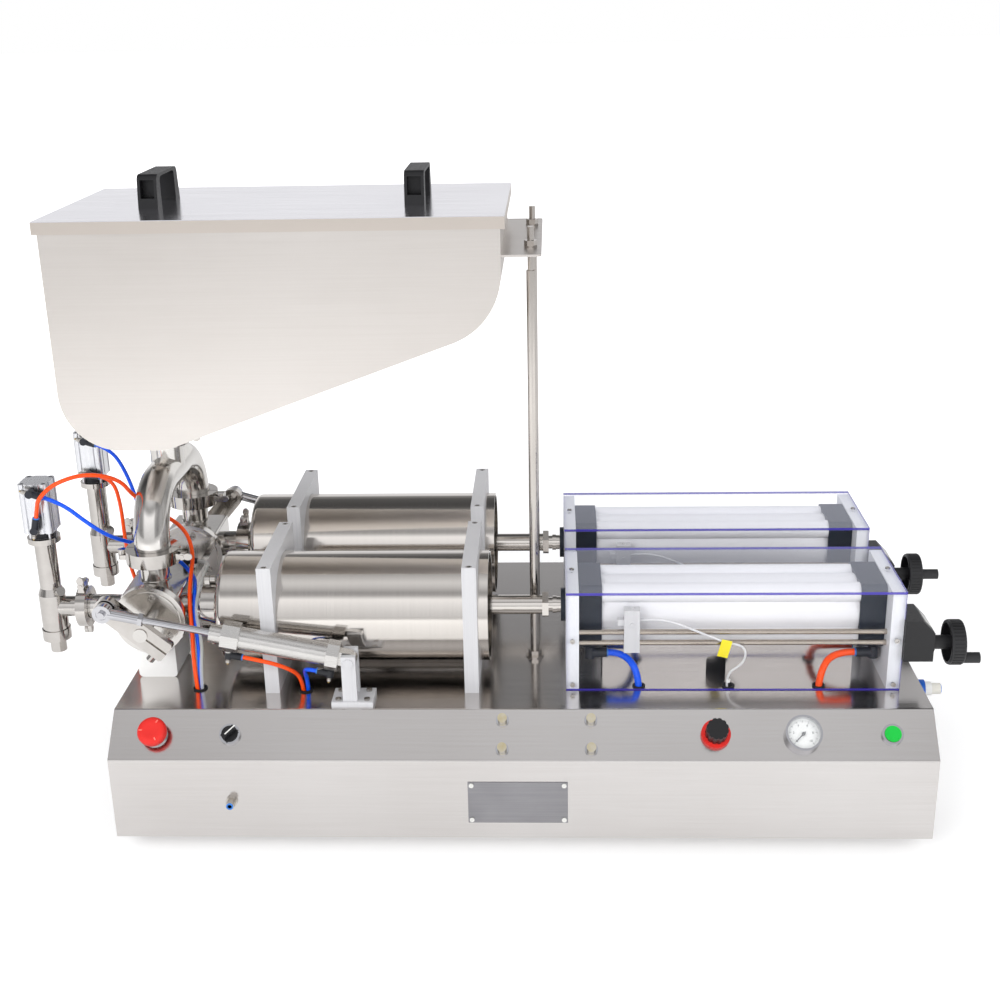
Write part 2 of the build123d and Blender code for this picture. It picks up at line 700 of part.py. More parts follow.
def cover_end_plates():
    """Thick white plates at both ends of each cover."""
    plates = []
    rod_y = SETTING_OFFSET
    for name, y, side in UNITS:
        span_y = (y - PLATE_HALF, y + PLATE_HALF)
        left = block((COVER_LEFT, LEFT_CAP_X), span_y, (DECK_Z, PLATE_TOP))
        right = block((RIGHT_CAP_X, COVER_RIGHT), span_y, (DECK_Z, PLATE_TOP))
        steps = [(END_PLATE + 2, BUSH_NECK + BORE_GAP)]
        left -= stepped_bar((COVER_LEFT - 1, y, AXIS_Z), (1, 0, 0), steps)
        blind = [(END_PLATE / 2, GUIDE_RADIUS + RUNNING_GAP)]
        for z in (GUIDE_Z, SCREW_Z):
            left -= stepped_bar((LEFT_CAP_X, y + rod_y, z), (-1, 0, 0), blind)
        right -= stepped_bar((RIGHT_CAP_X, y + rod_y, GUIDE_Z), (1, 0, 0), blind)
        through = [(END_PLATE + 2, GUIDE_RADIUS + RUNNING_GAP)]
        right -= stepped_bar((RIGHT_CAP_X - 1, y + rod_y, SCREW_Z), (1, 0, 0), through)
        for place in cover_screw_places(y):
            drill = cover_drill(place, 2 + SEAT_GAP, COVER_SHEET + 10)
            left -= drill
            right -= drill
        plates += [left, right]
    return plates


def clear_covers():
    """Clear sheets over the drives: a top sheet lying on two side sheets."""
    sheets = []
    span = (COVER_LEFT, COVER_RIGHT)
    half = COVER_DEPTH / 2
    for name, y, side in UNITS:
        top = block(span, (y - half, y + half), (PLATE_TOP, COVER_TOP))
        front = block(span, (y - half, y - PLATE_HALF), (DECK_Z, PLATE_TOP))
        back = block(span, (y + PLATE_HALF, y + half), (DECK_Z, PLATE_TOP))
        for place in cover_screw_places(y):
            drill = cover_drill(place, 2 + SEAT_GAP, COVER_SHEET + 1)
            top, front, back = top - drill, front - drill, back - drill
        sheets += [top, front, back]
    return sheets


def screw(point, way, head_radius, head_height, shank_radius, shank_length):
    """A screw whose head stands on a point and whose shank goes inwards."""
    start = tuple(point[i] + way[i] * head_height for i in range(3))
    steps = [(head_height, head_radius), (shank_length, shank_radius)]
    return stepped_bar(start, tuple(-w for w in way), steps)


def disc_screw_places(y):
    """Three screws on the front disc of a valve."""
    front = y - BLOCK_FRONT - DISC_THICKNESS
    places = []
    for angle in (80, 200, 320):
        turn = math.radians(angle)
        x = VALVE_X + DISC_SCREW_CIRCLE * math.cos(turn)
        z = AXIS_Z + DISC_SCREW_CIRCLE * math.sin(turn)
        places.append((x, front - RAISED_HEIGHT, z))
    return places


def clevis_screw_places(y, side):
    """Four screws at the corners of a clevis base."""
    middle = y + side * SWING_FROM_AXIS
    across = CLEVIS_BASE_DEPTH / 2 - 8
    along = CLEVIS_BASE_LENGTH / 2 - 9
    z = DECK_Z + CLEVIS_BASE_HEIGHT
    return [(PIVOT_X + 3 + dx, middle + dy, z) for dx in (-along, along) for dy in (-across, across)]


def socket_screws():
    """Every bolt and screw that holds fixed pieces together."""
    screws = []
    for name, y, side in UNITS:
        for x in SADDLE_XS:
            for bolt_y in saddle_bolt_ys(y):
                head = AXIS_Z + SADDLE_TOP - SADDLE_BOLT_HEAD
                length = SADDLE_BOLT_LENGTH - 4
                screws.append(screw((x, bolt_y, head), (0, 0, 1), SADDLE_BOLT_HEAD,
                                    SADDLE_BOLT_HEAD - 0.5, SADDLE_BOLT_RADIUS, length))
        for point, way in cover_screw_places(y):
            screws.append(screw(point, way, 3.5, 1.8, 2, COVER_SHEET + 8))
        for point in disc_screw_places(y):
            screws.append(screw(point, (0, -1, 0), 5, 3, 3, DISC_THICKNESS - 2))
        for point in clevis_screw_places(y, side):
            screws.append(screw(point, (0, 0, 1), 4.2, 2.5, 2.5, CLEVIS_BASE_HEIGHT - 2))
    return screws


def guide_rods():
    """Polished rods on which the sensor carriers slide."""
    rods = []
    reach = END_PLATE / 2 - 1
    for name, y, side in UNITS:
        start = (LEFT_CAP_X - reach, y + SETTING_OFFSET, GUIDE_Z)
        end = (RIGHT_CAP_X + reach, y + SETTING_OFFSET, GUIDE_Z)
        rods.append(bar_between(start, end, GUIDE_RADIUS))
    return rods


def sensor_carrier(y):
    """The block on guide rod and lead screw, with the switch that it carries."""
    x = LEFT_CAP_X + CARRIER_FROM_CAP + LEFT_CAP
    middle = y + SETTING_OFFSET
    low = AXIS_Z - CARRIER_BOTTOM
    span_y = (middle - CARRIER_DEPTH / 2, middle + CARRIER_DEPTH / 2)
    carrier = block((x, x + CARRIER_WIDTH), span_y, (low, low + CARRIER_HEIGHT))
    for z in (GUIDE_Z, SCREW_Z):
        drill = [(CARRIER_WIDTH + 2, GUIDE_RADIUS + RUNNING_GAP)]
        carrier -= stepped_bar((x - 1, middle, z), (1, 0, 0), drill)
    top = low + CARRIER_HEIGHT
    switch = block((x - SWITCH_SIZE, x), (middle - 5, middle + 5), (top - 24, top - 24 + SWITCH_SIZE))
    front = [
        screw((x + CARRIER_WIDTH / 2, span_y[0], GUIDE_Z + 14), (0, -1, 0), 3, 1.5, 1, 0.5),
        screw((x + CARRIER_WIDTH / 2, middle, top), (0, 0, 1), 3, 2.5, 1, 0.5),
    ]
    for z in (GUIDE_Z + 14,):
        carrier -= stepped_bar((x + CARRIER_WIDTH / 2, span_y[0] - 1, z), (0, 1, 0), [(1.6, 1.1)])
    carrier -= stepped_bar((x + CARRIER_WIDTH / 2, middle, top + 1), (0, 0, -1), [(1.6, 1.1)])
    return [carrier, switch, *front]


def counter_outline():
    """The side outline of a stroke counter, sloped where its window is."""
    low = SCREW_Z - COUNTER_BELOW
    high = SCREW_Z + COUNTER_ABOVE
    right = COVER_RIGHT + COUNTER_LENGTH
    return make_face(Polyline(
        (COVER_RIGHT, low),
        (right, low),
        (right, high - COUNTER_SLOPE_RISE),
        (right - COUNTER_SLOPE_RUN, high),
        (COVER_RIGHT, high),
        close=True,
    ))


def stroke_counters():
    """Black counters that the lead screws pass through."""
    counters = []
    for name, y, side in UNITS:
        middle = y + SETTING_OFFSET
        half = COUNTER_WIDTH / 2
        case = slab(counter_outline(), (middle - half, middle + half))
        case = fillet(case.edges().filter_by(Axis.X).group_by(Axis.Z)[0], 3)
        start = (COVER_RIGHT + COUNTER_LENGTH, middle, SCREW_Z)
        case += stepped_bar(start, (1, 0, 0), [(COUNTER_COLLAR, HUB_RADIUS + 4)])
        drill = [(COUNTER_LENGTH + COUNTER_COLLAR + 2, GUIDE_RADIUS + RUNNING_GAP)]
        case -= stepped_bar((COVER_RIGHT - 1, middle, SCREW_Z), (1, 0, 0), drill)
        counters.append(case)
    return counters


def handwheel(y, grip_angle):
    """A dished handwheel with hub, folding grip and its long lead screw."""
    middle = y + SETTING_OFFSET
    hub_x = COVER_RIGHT + COUNTER_LENGTH + COUNTER_COLLAR + FACE_GAP
    rim_x = hub_x - FACE_GAP - COUNTER_COLLAR + WHEEL_GAP + COUNTER_COLLAR
    right = rim_x + WHEEL_WIDTH
    inner = WHEEL_RADIUS - WHEEL_RIM
    outline = make_face(Polyline(
        (hub_x, GUIDE_RADIUS),
        (hub_x, HUB_RADIUS),
        (rim_x + WHEEL_DISH, HUB_RADIUS),
        (rim_x + WHEEL_DISH, inner),
        (rim_x, inner),
        (rim_x, WHEEL_RADIUS),
        (right, WHEEL_RADIUS),
        (right, GUIDE_RADIUS),
        close=True,
    ))
    rim_edges = [v for v in outline.vertices() if v.Y > WHEEL_RADIUS - 0.1]
    outline = fillet(rim_edges, 2)
    wheel = Pos(0, middle, SCREW_Z) * revolve(Plane.XZ * outline, axis=Axis.X)
    turn = math.radians(grip_angle)
    grip_y = middle + GRIP_OFFSET * math.sin(turn)
    grip_z = SCREW_Z + GRIP_OFFSET * math.cos(turn)
    grip = stepped_bar((right, grip_y, grip_z), (1, 0, 0), [(GRIP_LENGTH, GRIP_RADIUS)])
    lead_screw = bar_between((LEFT_CAP_X - END_PLATE / 2 + 1, middle, SCREW_Z),
                             (right - 1, middle, SCREW_Z), GUIDE_RADIUS)
    return [wheel, grip, lead_screw]


def hopper_outline(top):
    """Side outline of the hopper: flat floor, long slope and three large bends."""
    rise = math.tan(math.radians(HOPPER_SLOPE))
    slope_start = HOPPER_LEFT + HOPPER_FLAT
    slope_end = HOPPER_BOTTOM + (HOPPER_RIGHT - slope_start) * rise
    corners = [
        (HOPPER_LEFT, top),
        (HOPPER_LEFT, HOPPER_BOTTOM),
        (slope_start, HOPPER_BOTTOM),
        (HOPPER_RIGHT, slope_end),
        (HOPPER_RIGHT, top),
    ]
    bends = [HOPPER_LEFT_BEND, HOPPER_FLOOR_BEND, HOPPER_RIGHT_BEND]
    path = FilletPolyline(*corners, radius=bends)
    return make_face(path + Line(corners[-1], corners[0]))


def hopper_shell():
    """The folded hopper, open at the top, with its welded outlet neck."""
    half = HOPPER_DEPTH / 2
    span = (MIDDLE_Y - half, MIDDLE_Y + half)
    shell = slab(hopper_outline(HOPPER_TOP), span)
    inside = offset(hopper_outline(HOPPER_TOP + 3 * SHEET), amount=-SHEET)
    shell -= slab(inside, (span[0] + SHEET, span[1] - SHEET))
    drop = HOPPER_BOTTOM - OUTLET_JOINT_Z - GASKET / 2
    steps = [(drop - FERRULE_THICKNESS, OUTLET_RADIUS), (FERRULE_THICKNESS, CYLINDER_FERRULE)]
    shell += stepped_bar((VALVE_X, MIDDLE_Y, HOPPER_BOTTOM), (0, 0, -1), steps)
    steps = [(drop + 2 * SHEET, OUTLET_RADIUS - SHEET)]
    shell -= stepped_bar((VALVE_X, MIDDLE_Y, HOPPER_BOTTOM + 1.5 * SHEET), (0, 0, -1), steps)
    return [shell]


def hopper_lid():
    """A folded lid with a skirt all round, resting on the hopper's rim."""
    half = HOPPER_DEPTH / 2 + LID_SIDE_OVERHANG
    span_x = (HOPPER_LEFT - LID_OVERHANG, HOPPER_RIGHT + LID_OVERHANG)
    span_y = (MIDDLE_Y - half, MIDDLE_Y + half)
    lid = block(span_x, span_y, (LID_TOP - LID_SKIRT, LID_TOP))
    inner_x = (span_x[0] + SHEET, span_x[1] - SHEET)
    inner_y = (span_y[0] + SHEET, span_y[1] - SHEET)
    return [lid - block(inner_x, inner_y, (LID_TOP - LID_SKIRT - 1, HOPPER_TOP))]


def lid_handles():
    """Moulded bridge handles with hollow, open ends."""
    handles = []
    half = HANDLE_LENGTH / 2
    top = LID_TOP + HANDLE_HEIGHT
    for x in (LEFT_HANDLE_X, RIGHT_HANDLE_X):
        outline = make_face(Polyline(
            (MIDDLE_Y - half, LID_TOP),
            (MIDDLE_Y - half + 6, top),
            (MIDDLE_Y + half - 6, top),
            (MIDDLE_Y + half, LID_TOP),
            close=True,
        ))
        outline = fillet(outline.vertices().group_by(Axis.Y)[-1], 10)
        grip = length_slab(outline, (x - HANDLE_WIDTH / 2, x + HANDLE_WIDTH / 2))
        finger = Pos(MIDDLE_Y, LID_TOP + HANDLE_HEIGHT / 2 - HANDLE_WALL) * sheet_rectangle(
            HANDLE_SPAN, HANDLE_HEIGHT, 8)
        grip -= length_slab(finger, (x - HANDLE_WIDTH, x + HANDLE_WIDTH))
        inside = HANDLE_WIDTH / 2 - HANDLE_WALL
        for side in (-1, 1):
            pocket_y = sorted((MIDDLE_Y + side * (HANDLE_SPAN / 2 + HANDLE_WALL), MIDDLE_Y + side * (half + 1)))
            floor = LID_TOP + HANDLE_HEIGHT * 0.3
            grip -= block((x - inside, x + inside), pocket_y, (floor, top - HANDLE_WALL - 3))
        handles.append(grip)
    return handles


def support_rod_ys():
    """Where the two support rods stand."""
    return (MIDDLE_Y - SUPPORT_ROD_SPACING / 2, MIDDLE_Y + SUPPORT_ROD_SPACING / 2)


def hopper_bracket():
    """The flat bracket on the hopper's right wall that the rods hold."""
    half = BRACKET_LENGTH / 2
    plate = block((HOPPER_RIGHT, SUPPORT_ROD_X + BRACKET_BEYOND_ROD), (MIDDLE_Y - half, MIDDLE_Y + half),
                  (BRACKET_Z, BRACKET_Z + BRACKET_SHEET))
    outer = plate.edges().filter_by(Axis.Z).group_by(Axis.X)[-1]
    plate = fillet(outer, 6)
    for y in support_rod_ys():
        start = (SUPPORT_ROD_X, y, BRACKET_Z - 1)
        plate -= stepped_bar(start, (0, 0, 1), [(BRACKET_SHEET + 2, SUPPORT_STUD_RADIUS + BORE_GAP)])
    return [plate]


def hopper_support_rods():
    """Two threaded support rods in sleeves, with their nuts and washers."""
    pieces = []
    up = (0, 0, 1)
    bore = SUPPORT_STUD_RADIUS + RUNNING_GAP
    plate_top = BRACKET_Z + BRACKET_SHEET
    for y in support_rod_ys():
        low = DECK_Z - 14
        nut_top = DECK_Z + 10
        steps = [(nut_top - low, SUPPORT_STUD_RADIUS), (SUPPORT_SLEEVE_TOP - nut_top, SUPPORT_ROD_RADIUS),
                 (SUPPORT_STUD_TOP - SUPPORT_SLEEVE_TOP, SUPPORT_STUD_RADIUS)]
        pieces.append(stepped_bar((SUPPORT_ROD_X, y, low), up, steps))
        pieces.append(ring((SUPPORT_ROD_X, y, DECK_Z), up, 13, bore, 2))
        pieces.append(hexagon((SUPPORT_ROD_X, y, DECK_Z + 2), up, 17, 8, bore))
        pieces.append(hexagon((SUPPORT_ROD_X, y, DECK_Z - SHEET - 7), up, 17, 7, bore))
        pieces.append(hexagon((SUPPORT_ROD_X, y, BRACKET_Z - 7), up, 15, 7, bore))
        pieces.append(ring((SUPPORT_ROD_X, y, plate_top), up, 9, bore, 1.5))
        pieces.append(hexagon((SUPPORT_ROD_X, y, plate_top + 1.5), up, 15, 7, bore))
    return pieces


def inlet_manifold():
    """The bent pipe that feeds both valves from the hopper's outlet."""
    foot = ELBOW_JOINT_Z + GASKET / 2
    path = FilletPolyline(
        (FRONT_UNIT_Y, foot), (FRONT_UNIT_Y, CROWN_Z), (REAR_UNIT_Y, CROWN_Z), (REAR_UNIT_Y, foot),
        radius=ELBOW_RADIUS,
    )
    plane = Plane(origin=(VALVE_X, 0, 0), x_dir=(0, 1, 0), z_dir=(1, 0, 0))
    route = plane * path
    start = Plane(origin=(VALVE_X, FRONT_UNIT_Y, foot), z_dir=(0, 0, 1))
    pipe = sweep(start * Circle(PIPE_RADIUS), path=route)
    bore = sweep(start * Circle(PIPE_RADIUS - PIPE_WALL), path=route)
    top = OUTLET_JOINT_Z - GASKET / 2
    branch = (VALVE_X, MIDDLE_Y, CROWN_Z)
    pipe += stepped_bar(branch, (0, 0, 1), [(top - CROWN_Z, BRANCH_RADIUS)])
    pipe += ring((VALVE_X, MIDDLE_Y, top), (0, 0, -1), CYLINDER_FERRULE, BRANCH_RADIUS - PIPE_WALL, FERRULE_THICKNESS)
    bore += stepped_bar(branch, (0, 0, 1), [(top - CROWN_Z + 1, BRANCH_RADIUS - PIPE_WALL)])
    for name, y, side in UNITS:
        flange = ring((VALVE_X, y, foot), (0, 0, 1), ELBOW_FERRULE, PIPE_RADIUS - PIPE_WALL / 2, FERRULE_THICKNESS)
        pipe += flange
    return [pipe - bore]


def valve_block(y, side):
    """One valve block with its three necks, chamber bore and shaft hole."""
    rear = y + BLOCK_REAR
    body = block((VALVE_X - BLOCK_WIDTH / 2, VALVE_X + BLOCK_WIDTH / 2), (y - BLOCK_FRONT, rear),
                 (BLOCK_BOTTOM, BLOCK_TOP))
    body = fillet(body.edges().filter_by(Axis.Y), BLOCK_CORNER)
    centre = (VALVE_X, y, AXIS_Z)
    up_length = ELBOW_JOINT_Z - GASKET / 2 - BLOCK_TOP
    up_steps = [
        (LOWER_NECK_HEIGHT, LOWER_NECK_RADIUS),
        (LIP_HEIGHT, LIP_RADIUS),
        (up_length - LOWER_NECK_HEIGHT - LIP_HEIGHT - FERRULE_THICKNESS, NECK_RADIUS),
        (FERRULE_THICKNESS, ELBOW_FERRULE),
    ]
    body += stepped_bar((VALVE_X, y, BLOCK_TOP), (0, 0, 1), up_steps)
    wall = BLOCK_WIDTH / 2
    right = CYLINDER_JOINT_X - GASKET / 2 - VALVE_X - wall
    steps = [(right - FERRULE_THICKNESS, NECK_RADIUS), (FERRULE_THICKNESS, CYLINDER_FERRULE)]
    body += stepped_bar((VALVE_X + wall, y, AXIS_Z), (1, 0, 0), steps)
    left = NOZZLE_JOINT - GASKET / 2 - wall
    steps = [(left - FERRULE_THICKNESS, NOZZLE_NECK_RADIUS), (FERRULE_THICKNESS, NOZZLE_FERRULE)]
    body += stepped_bar((VALVE_X - wall, y, AXIS_Z), (-1, 0, 0), steps)
    for way, reach in (((0, 0, 1), 200), ((1, 0, 0), 200), ((-1, 0, 0), 200)):
        body -= stepped_bar(centre, way, [(reach, PORT_BORE)])
    chamber = BLOCK_FRONT + BLOCK_REAR - ROTOR_WALL
    body -= stepped_bar((VALVE_X, y - BLOCK_FRONT - 1, AXIS_Z), (0, 1, 0), [(chamber + 1, ROTOR_RADIUS)])
    if side > 0:
        steps = [(BLOCK_REAR + 2, SHAFT_RADIUS + RUNNING_GAP)]
        body -= stepped_bar(centre, (0, 1, 0), steps)
    return body


def valve_disc(y, side):
    """The round plate that closes the front of a valve, with a raised face."""
    front = (VALVE_X, y - BLOCK_FRONT, AXIS_Z)
    steps = [(DISC_THICKNESS, DISC_RADIUS), (RAISED_HEIGHT, RAISED_RADIUS)]
    disc = stepped_bar(front, (0, -1, 0), steps)
    if side < 0:
        start = (VALVE_X, y - BLOCK_FRONT + 1, AXIS_Z)
        disc -= stepped_bar(start, (0, -1, 0), [(DISC_THICKNESS + 9, SHAFT_RADIUS + RUNNING_GAP)])
    for x, screw_y, z in disc_screw_places(y):
        disc -= stepped_bar((x, screw_y - 1, z), (0, 1, 0), [(DISC_THICKNESS, 3 + SEAT_GAP)])
    return disc


def valve_bodies():
    """Both valve blocks, their round front plates and the bridge between them."""
    pieces = []
    for name, y, side in UNITS:
        pieces += [valve_block(y, side), valve_disc(y, side)]
    half = BLOCK_WIDTH / 2
    span_y = (FRONT_UNIT_Y + BLOCK_REAR, REAR_UNIT_Y - BLOCK_FRONT - DISC_THICKNESS - RAISED_HEIGHT)
    bridge = block((VALVE_X - half, VALVE_X + half), span_y, (BLOCK_TOP - BRIDGE_THICKNESS, BLOCK_TOP))
    for place in disc_screw_places(REAR_UNIT_Y):
        bridge -= stepped_bar(place, (0, -1, 0), [(4, 5 + BORE_GAP)])
    return [*pieces, bridge]


def valve_feet():
    """White plastic blocks that carry the valves on the deck."""
    feet = []
    for name, y, side in UNITS:
        half_x, half_y = FOOT_BLOCK_WIDTH / 2, FOOT_BLOCK_DEPTH / 2
        top = BLOCK_BOTTOM
        foot = block((VALVE_X - half_x, VALVE_X + half_x), (y - half_y, y + half_y), (DECK_Z, top))
        bottom = foot.edges().filter_by(Axis.Y).group_by(Axis.Z)[0]
        feet.append(fillet(bottom, FOOT_BLOCK_ROUND))
    return feet


def valve_rotor(y, side):
    """The turning plug of a valve with three of its four ways open."""
    length = BLOCK_FRONT + BLOCK_REAR - ROTOR_WALL - 2 * FACE_GAP
    start = (VALVE_X, y - BLOCK_FRONT + FACE_GAP, AXIS_Z)
    plug = stepped_bar(start, (0, 1, 0), [(length, ROTOR_RADIUS - RUNNING_GAP)])
    wall_turn = 0 if side < 0 else -90
    for angle in (90, 0, -90):
        turn = math.radians(angle + wall_turn)
        way = (math.cos(turn), 0, math.sin(turn))
        plug -= stepped_bar((VALVE_X, y, AXIS_Z), way, [(ROTOR_RADIUS + 5, PORT_BORE - 1)])
    shaft_start = LEVER_FROM_AXIS + LEVER_THICKNESS + 2
    inner = PORT_BORE + 2
    ends = sorted((y + side * inner, y + side * shaft_start))
    shaft = stepped_bar((VALVE_X, ends[0], AXIS_Z), (0, 1, 0), [(ends[1] - ends[0], SHAFT_RADIUS)])
    return [plug + shaft]


def lever_outline(angle):
    """The lever's plate: a rounded arm and a square tail with a clamping slit."""
    tail_end = -LEVER_TAIL
    plate = Pos((LEVER_ARM + tail_end) / 2, 0) * Rectangle(LEVER_ARM - tail_end, LEVER_WIDTH)
    plate = chamfer(plate.vertices().group_by(Axis.X)[0], 3)
    plate += Pos(LEVER_ARM, 0) * Circle(LEVER_WIDTH / 2)
    plate -= Circle(SHAFT_RADIUS + RUNNING_GAP)
    plate -= Pos(tail_end / 2, 0) * Rectangle(-tail_end, LEVER_SLIT)
    plate -= Pos(LEVER_ARM, 0) * Circle(SWING_ROD_RADIUS + RUNNING_GAP)
    return Pos(VALVE_X, AXIS_Z) * Rot(0, 0, angle) * plate


def valve_lever(y, side, angle):
    """A clamped lever, its clamping screw and the nut behind its eye bolt."""
    near = y + side * LEVER_FROM_AXIS
    far = y + side * (LEVER_FROM_AXIS + LEVER_THICKNESS)
    plate = slab(lever_outline(angle), (near, far))
    turn = math.radians(angle)
    arm = (math.cos(turn), 0, math.sin(turn))
    across = (math.sin(turn), 0, -math.cos(turn))
    tip = [VALVE_X + LEVER_ARM * arm[0], near, AXIS_Z + LEVER_ARM * arm[2]]
    nut = hexagon(tuple(tip), (0, -side, 0), 15, 6, SWING_ROD_RADIUS + RUNNING_GAP)
    stub = stepped_bar((tip[0], near - side * 6, tip[2]), (0, side, 0), [(6 + LEVER_THICKNESS, SWING_ROD_RADIUS)])
    middle = (near + far) / 2
    base = LEVER_TAIL * 0.72
    edge = LEVER_WIDTH / 2
    head = (VALVE_X - base * arm[0] - edge * across[0], middle, AXIS_Z - base * arm[2] - edge * across[2])
    clamp = stepped_bar(head, tuple(-part for part in across), [(9, CLAMP_SCREW_RADIUS)])
    return [plate, nut, stub, clamp]


def swing_frame(angle):
    """The pivot and the unit direction from it to the lever's eye."""
    turn = math.radians(angle)
    eye = Vector(VALVE_X + LEVER_ARM * math.cos(turn), 0, AXIS_Z + LEVER_ARM * math.sin(turn))
    pivot = Vector(PIVOT_X, 0, PIVOT_Z)
    return pivot, (eye - pivot).normalized(), (eye - pivot).length


def along_swing(angle, y, distance, drop=0):
    """A point on the swing cylinder's line, from its pivot, dropped square to it."""
    pivot, way, reach = swing_frame(angle)
    down = Vector(way.Z, 0, -way.X) if way.X > 0 else Vector(-way.Z, 0, way.X)
    point = pivot + way * distance + down * drop
    return (point.X, y, point.Z)


def swing_rod(y, side, angle):
    """Rod end with its ball and bolt, jam nut, rod and piston."""
    middle = y + side * SWING_FROM_AXIS
    pivot, way, reach = swing_frame(angle)
    back = (-way.X, 0, -way.Z)
    eye = (pivot.X + way.X * reach, 0, pivot.Z + way.Z * reach)
    outer = middle - EYE_THICKNESS / 2
    rod_end = stepped_bar((eye[0], outer, eye[2]), (0, 1, 0), [(EYE_THICKNESS, EYE_RADIUS)])
    shank_start = along_swing(angle, middle, reach)
    rod_end += stepped_bar(shank_start, back, [(EYE_SHANK_LENGTH, EYE_SHANK_RADIUS)])
    drill = [(EYE_THICKNESS + 2, EYE_BALL)]
    rod_end -= stepped_bar((eye[0], outer - 1, eye[2]), (0, 1, 0), drill)
    lever_face = y + side * (LEVER_FROM_AXIS + LEVER_THICKNESS + FACE_GAP)
    head_face = middle + side * (EYE_THICKNESS / 2 + 5)
    ball_half = EYE_THICKNESS / 2 - 1
    ball = stepped_bar((eye[0], middle - ball_half, eye[2]), (0, 1, 0), [(2 * ball_half, EYE_BALL)])
    ends = sorted((lever_face, head_face))
    ball += stepped_bar((eye[0], ends[0], eye[2]), (0, 1, 0), [(ends[1] - ends[0], SWING_ROD_RADIUS)])
    nut = hexagon(along_swing(angle, middle, reach - EYE_SHANK_LENGTH), back, JAM_NUT_ACROSS,
                  JAM_NUT_HEIGHT, SWING_ROD_RADIUS)
    extended = swing_frame(LEVER_LEFT_ANGLE)[2] - swing_frame(LEVER_RIGHT_ANGLE)[2]
    travel_left = 0 if angle == LEVER_LEFT_ANGLE else extended
    piston_at = FRONT_CAP_FROM_PIVOT - 2 - SWING_PISTON - travel_left
    rod_length = reach - EYE_SHANK_LENGTH - piston_at
    rod = stepped_bar(along_swing(angle, middle, piston_at), tuple(way), [(rod_length, SWING_ROD_RADIUS)])
    disc = ring(along_swing(angle, middle, piston_at), tuple(way), SWING_BORE - BORE_GAP,
                SWING_ROD_RADIUS, SWING_PISTON)
    return [rod_end, ball, nut, rod, disc]


def octagon_cap(start, way, length, bore):
    """An eight-sided cylinder cap with an optional bore."""
    plane = Plane(origin=start, x_dir=(0, 1, 0), z_dir=way)
    outline = RegularPolygon(SWING_CAP_ACROSS / 2, 8, major_radius=False, rotation=22.5)
    if bore:
        outline -= Circle(bore)
    return extrude(plane * outline, length)


def swing_barrel(y, side, angle):
    """Barrel, end caps, nose and tongue of one swing cylinder."""
    middle = y + side * SWING_FROM_AXIS
    pivot, way, reach = swing_frame(angle)
    direction = tuple(way)
    rear_end = REAR_CAP_FROM_PIVOT + REAR_CAP_LENGTH
    rod_hole = SWING_ROD_RADIUS + RUNNING_GAP
    front_cap = octagon_cap(along_swing(angle, middle, FRONT_CAP_FROM_PIVOT), direction, FRONT_CAP_LENGTH, rod_hole)
    nose_start = along_swing(angle, middle, FRONT_CAP_FROM_PIVOT + FRONT_CAP_LENGTH)
    front_cap += ring(nose_start, direction, NOSE_RADIUS, rod_hole, NOSE_LENGTH)
    tube = ring(along_swing(angle, middle, rear_end), direction, SWING_TUBE_RADIUS, SWING_BORE,
                FRONT_CAP_FROM_PIVOT - rear_end)
    rear_cap = octagon_cap(along_swing(angle, middle, REAR_CAP_FROM_PIVOT), direction, REAR_CAP_LENGTH, 0)
    near = middle - TONGUE_WIDTH / 2
    tongue = stepped_bar((pivot.X, near, pivot.Z), (0, 1, 0), [(TONGUE_WIDTH, TONGUE_RADIUS)])
    link = extrude(Plane(origin=along_swing(angle, middle, 0), x_dir=(0, 1, 0), z_dir=direction)
                   * Rectangle(TONGUE_WIDTH, 2 * TONGUE_RADIUS), REAR_CAP_FROM_PIVOT)
    rear_cap += tongue + link
    drill = [(TONGUE_WIDTH + 2, CLEVIS_PIN_RADIUS + RUNNING_GAP)]
    rear_cap -= stepped_bar((pivot.X, near - 1, pivot.Z), (0, 1, 0), drill)
    pieces = [front_cap, tube, rear_cap]
    for station, facing in linkage_fitting_places():
        start = along_swing(angle, middle, station, SWING_CAP_ACROSS / 2)
        pieces.append(elbow_fitting(start, swing_down(angle), facing_way(angle, facing), THIN_TUBE))
    return pieces


def swing_down(angle):
    """The direction out of the underside of a swing cylinder."""
    way = swing_frame(angle)[1]
    return (way.Z, 0, -way.X) if way.X > 0 else (-way.Z, 0, way.X)


def facing_way(angle, facing):
    """Along the swing cylinder, towards its pivot or towards its nose."""
    way = swing_frame(angle)[1]
    return (way.X * facing, 0, way.Z * facing)


def linkage_fitting_places():
    """Stations of the two fittings under a swing cylinder and the way each faces."""
    front = FRONT_CAP_FROM_PIVOT + FRONT_CAP_LENGTH / 2
    rear = REAR_CAP_FROM_PIVOT + REAR_CAP_LENGTH / 2
    return ((front, -1), (rear, 1))


def elbow_fitting(start, way, facing, tube_radius):
    """A push-in elbow: a threaded stub, a round body and a release collar."""
    body = tube_radius + 2.5
    drop = 3 + body
    stub = stepped_bar(start, way, [(3, body - 1), (2 * body, body)])
    corner = tuple(start[i] + way[i] * drop for i in range(3))
    arm = stepped_bar(corner, facing, [(3.2 * body, 0.93 * body), (2, 0.8 * body)])
    socket = tuple(corner[i] + facing[i] * (1.6 * body) for i in range(3))
    drill = stepped_bar(socket, facing, [(3 * body, tube_radius * 0.7)])
    return stub + arm - drill


def elbow_mouth(start, way, facing, tube_radius):
    """Where the tube leaves an elbow fitting."""
    body = tube_radius + 2.5
    drop = 3 + body
    reach = 3.2 * body + 2
    return tuple(start[i] + way[i] * drop + facing[i] * reach for i in range(3))


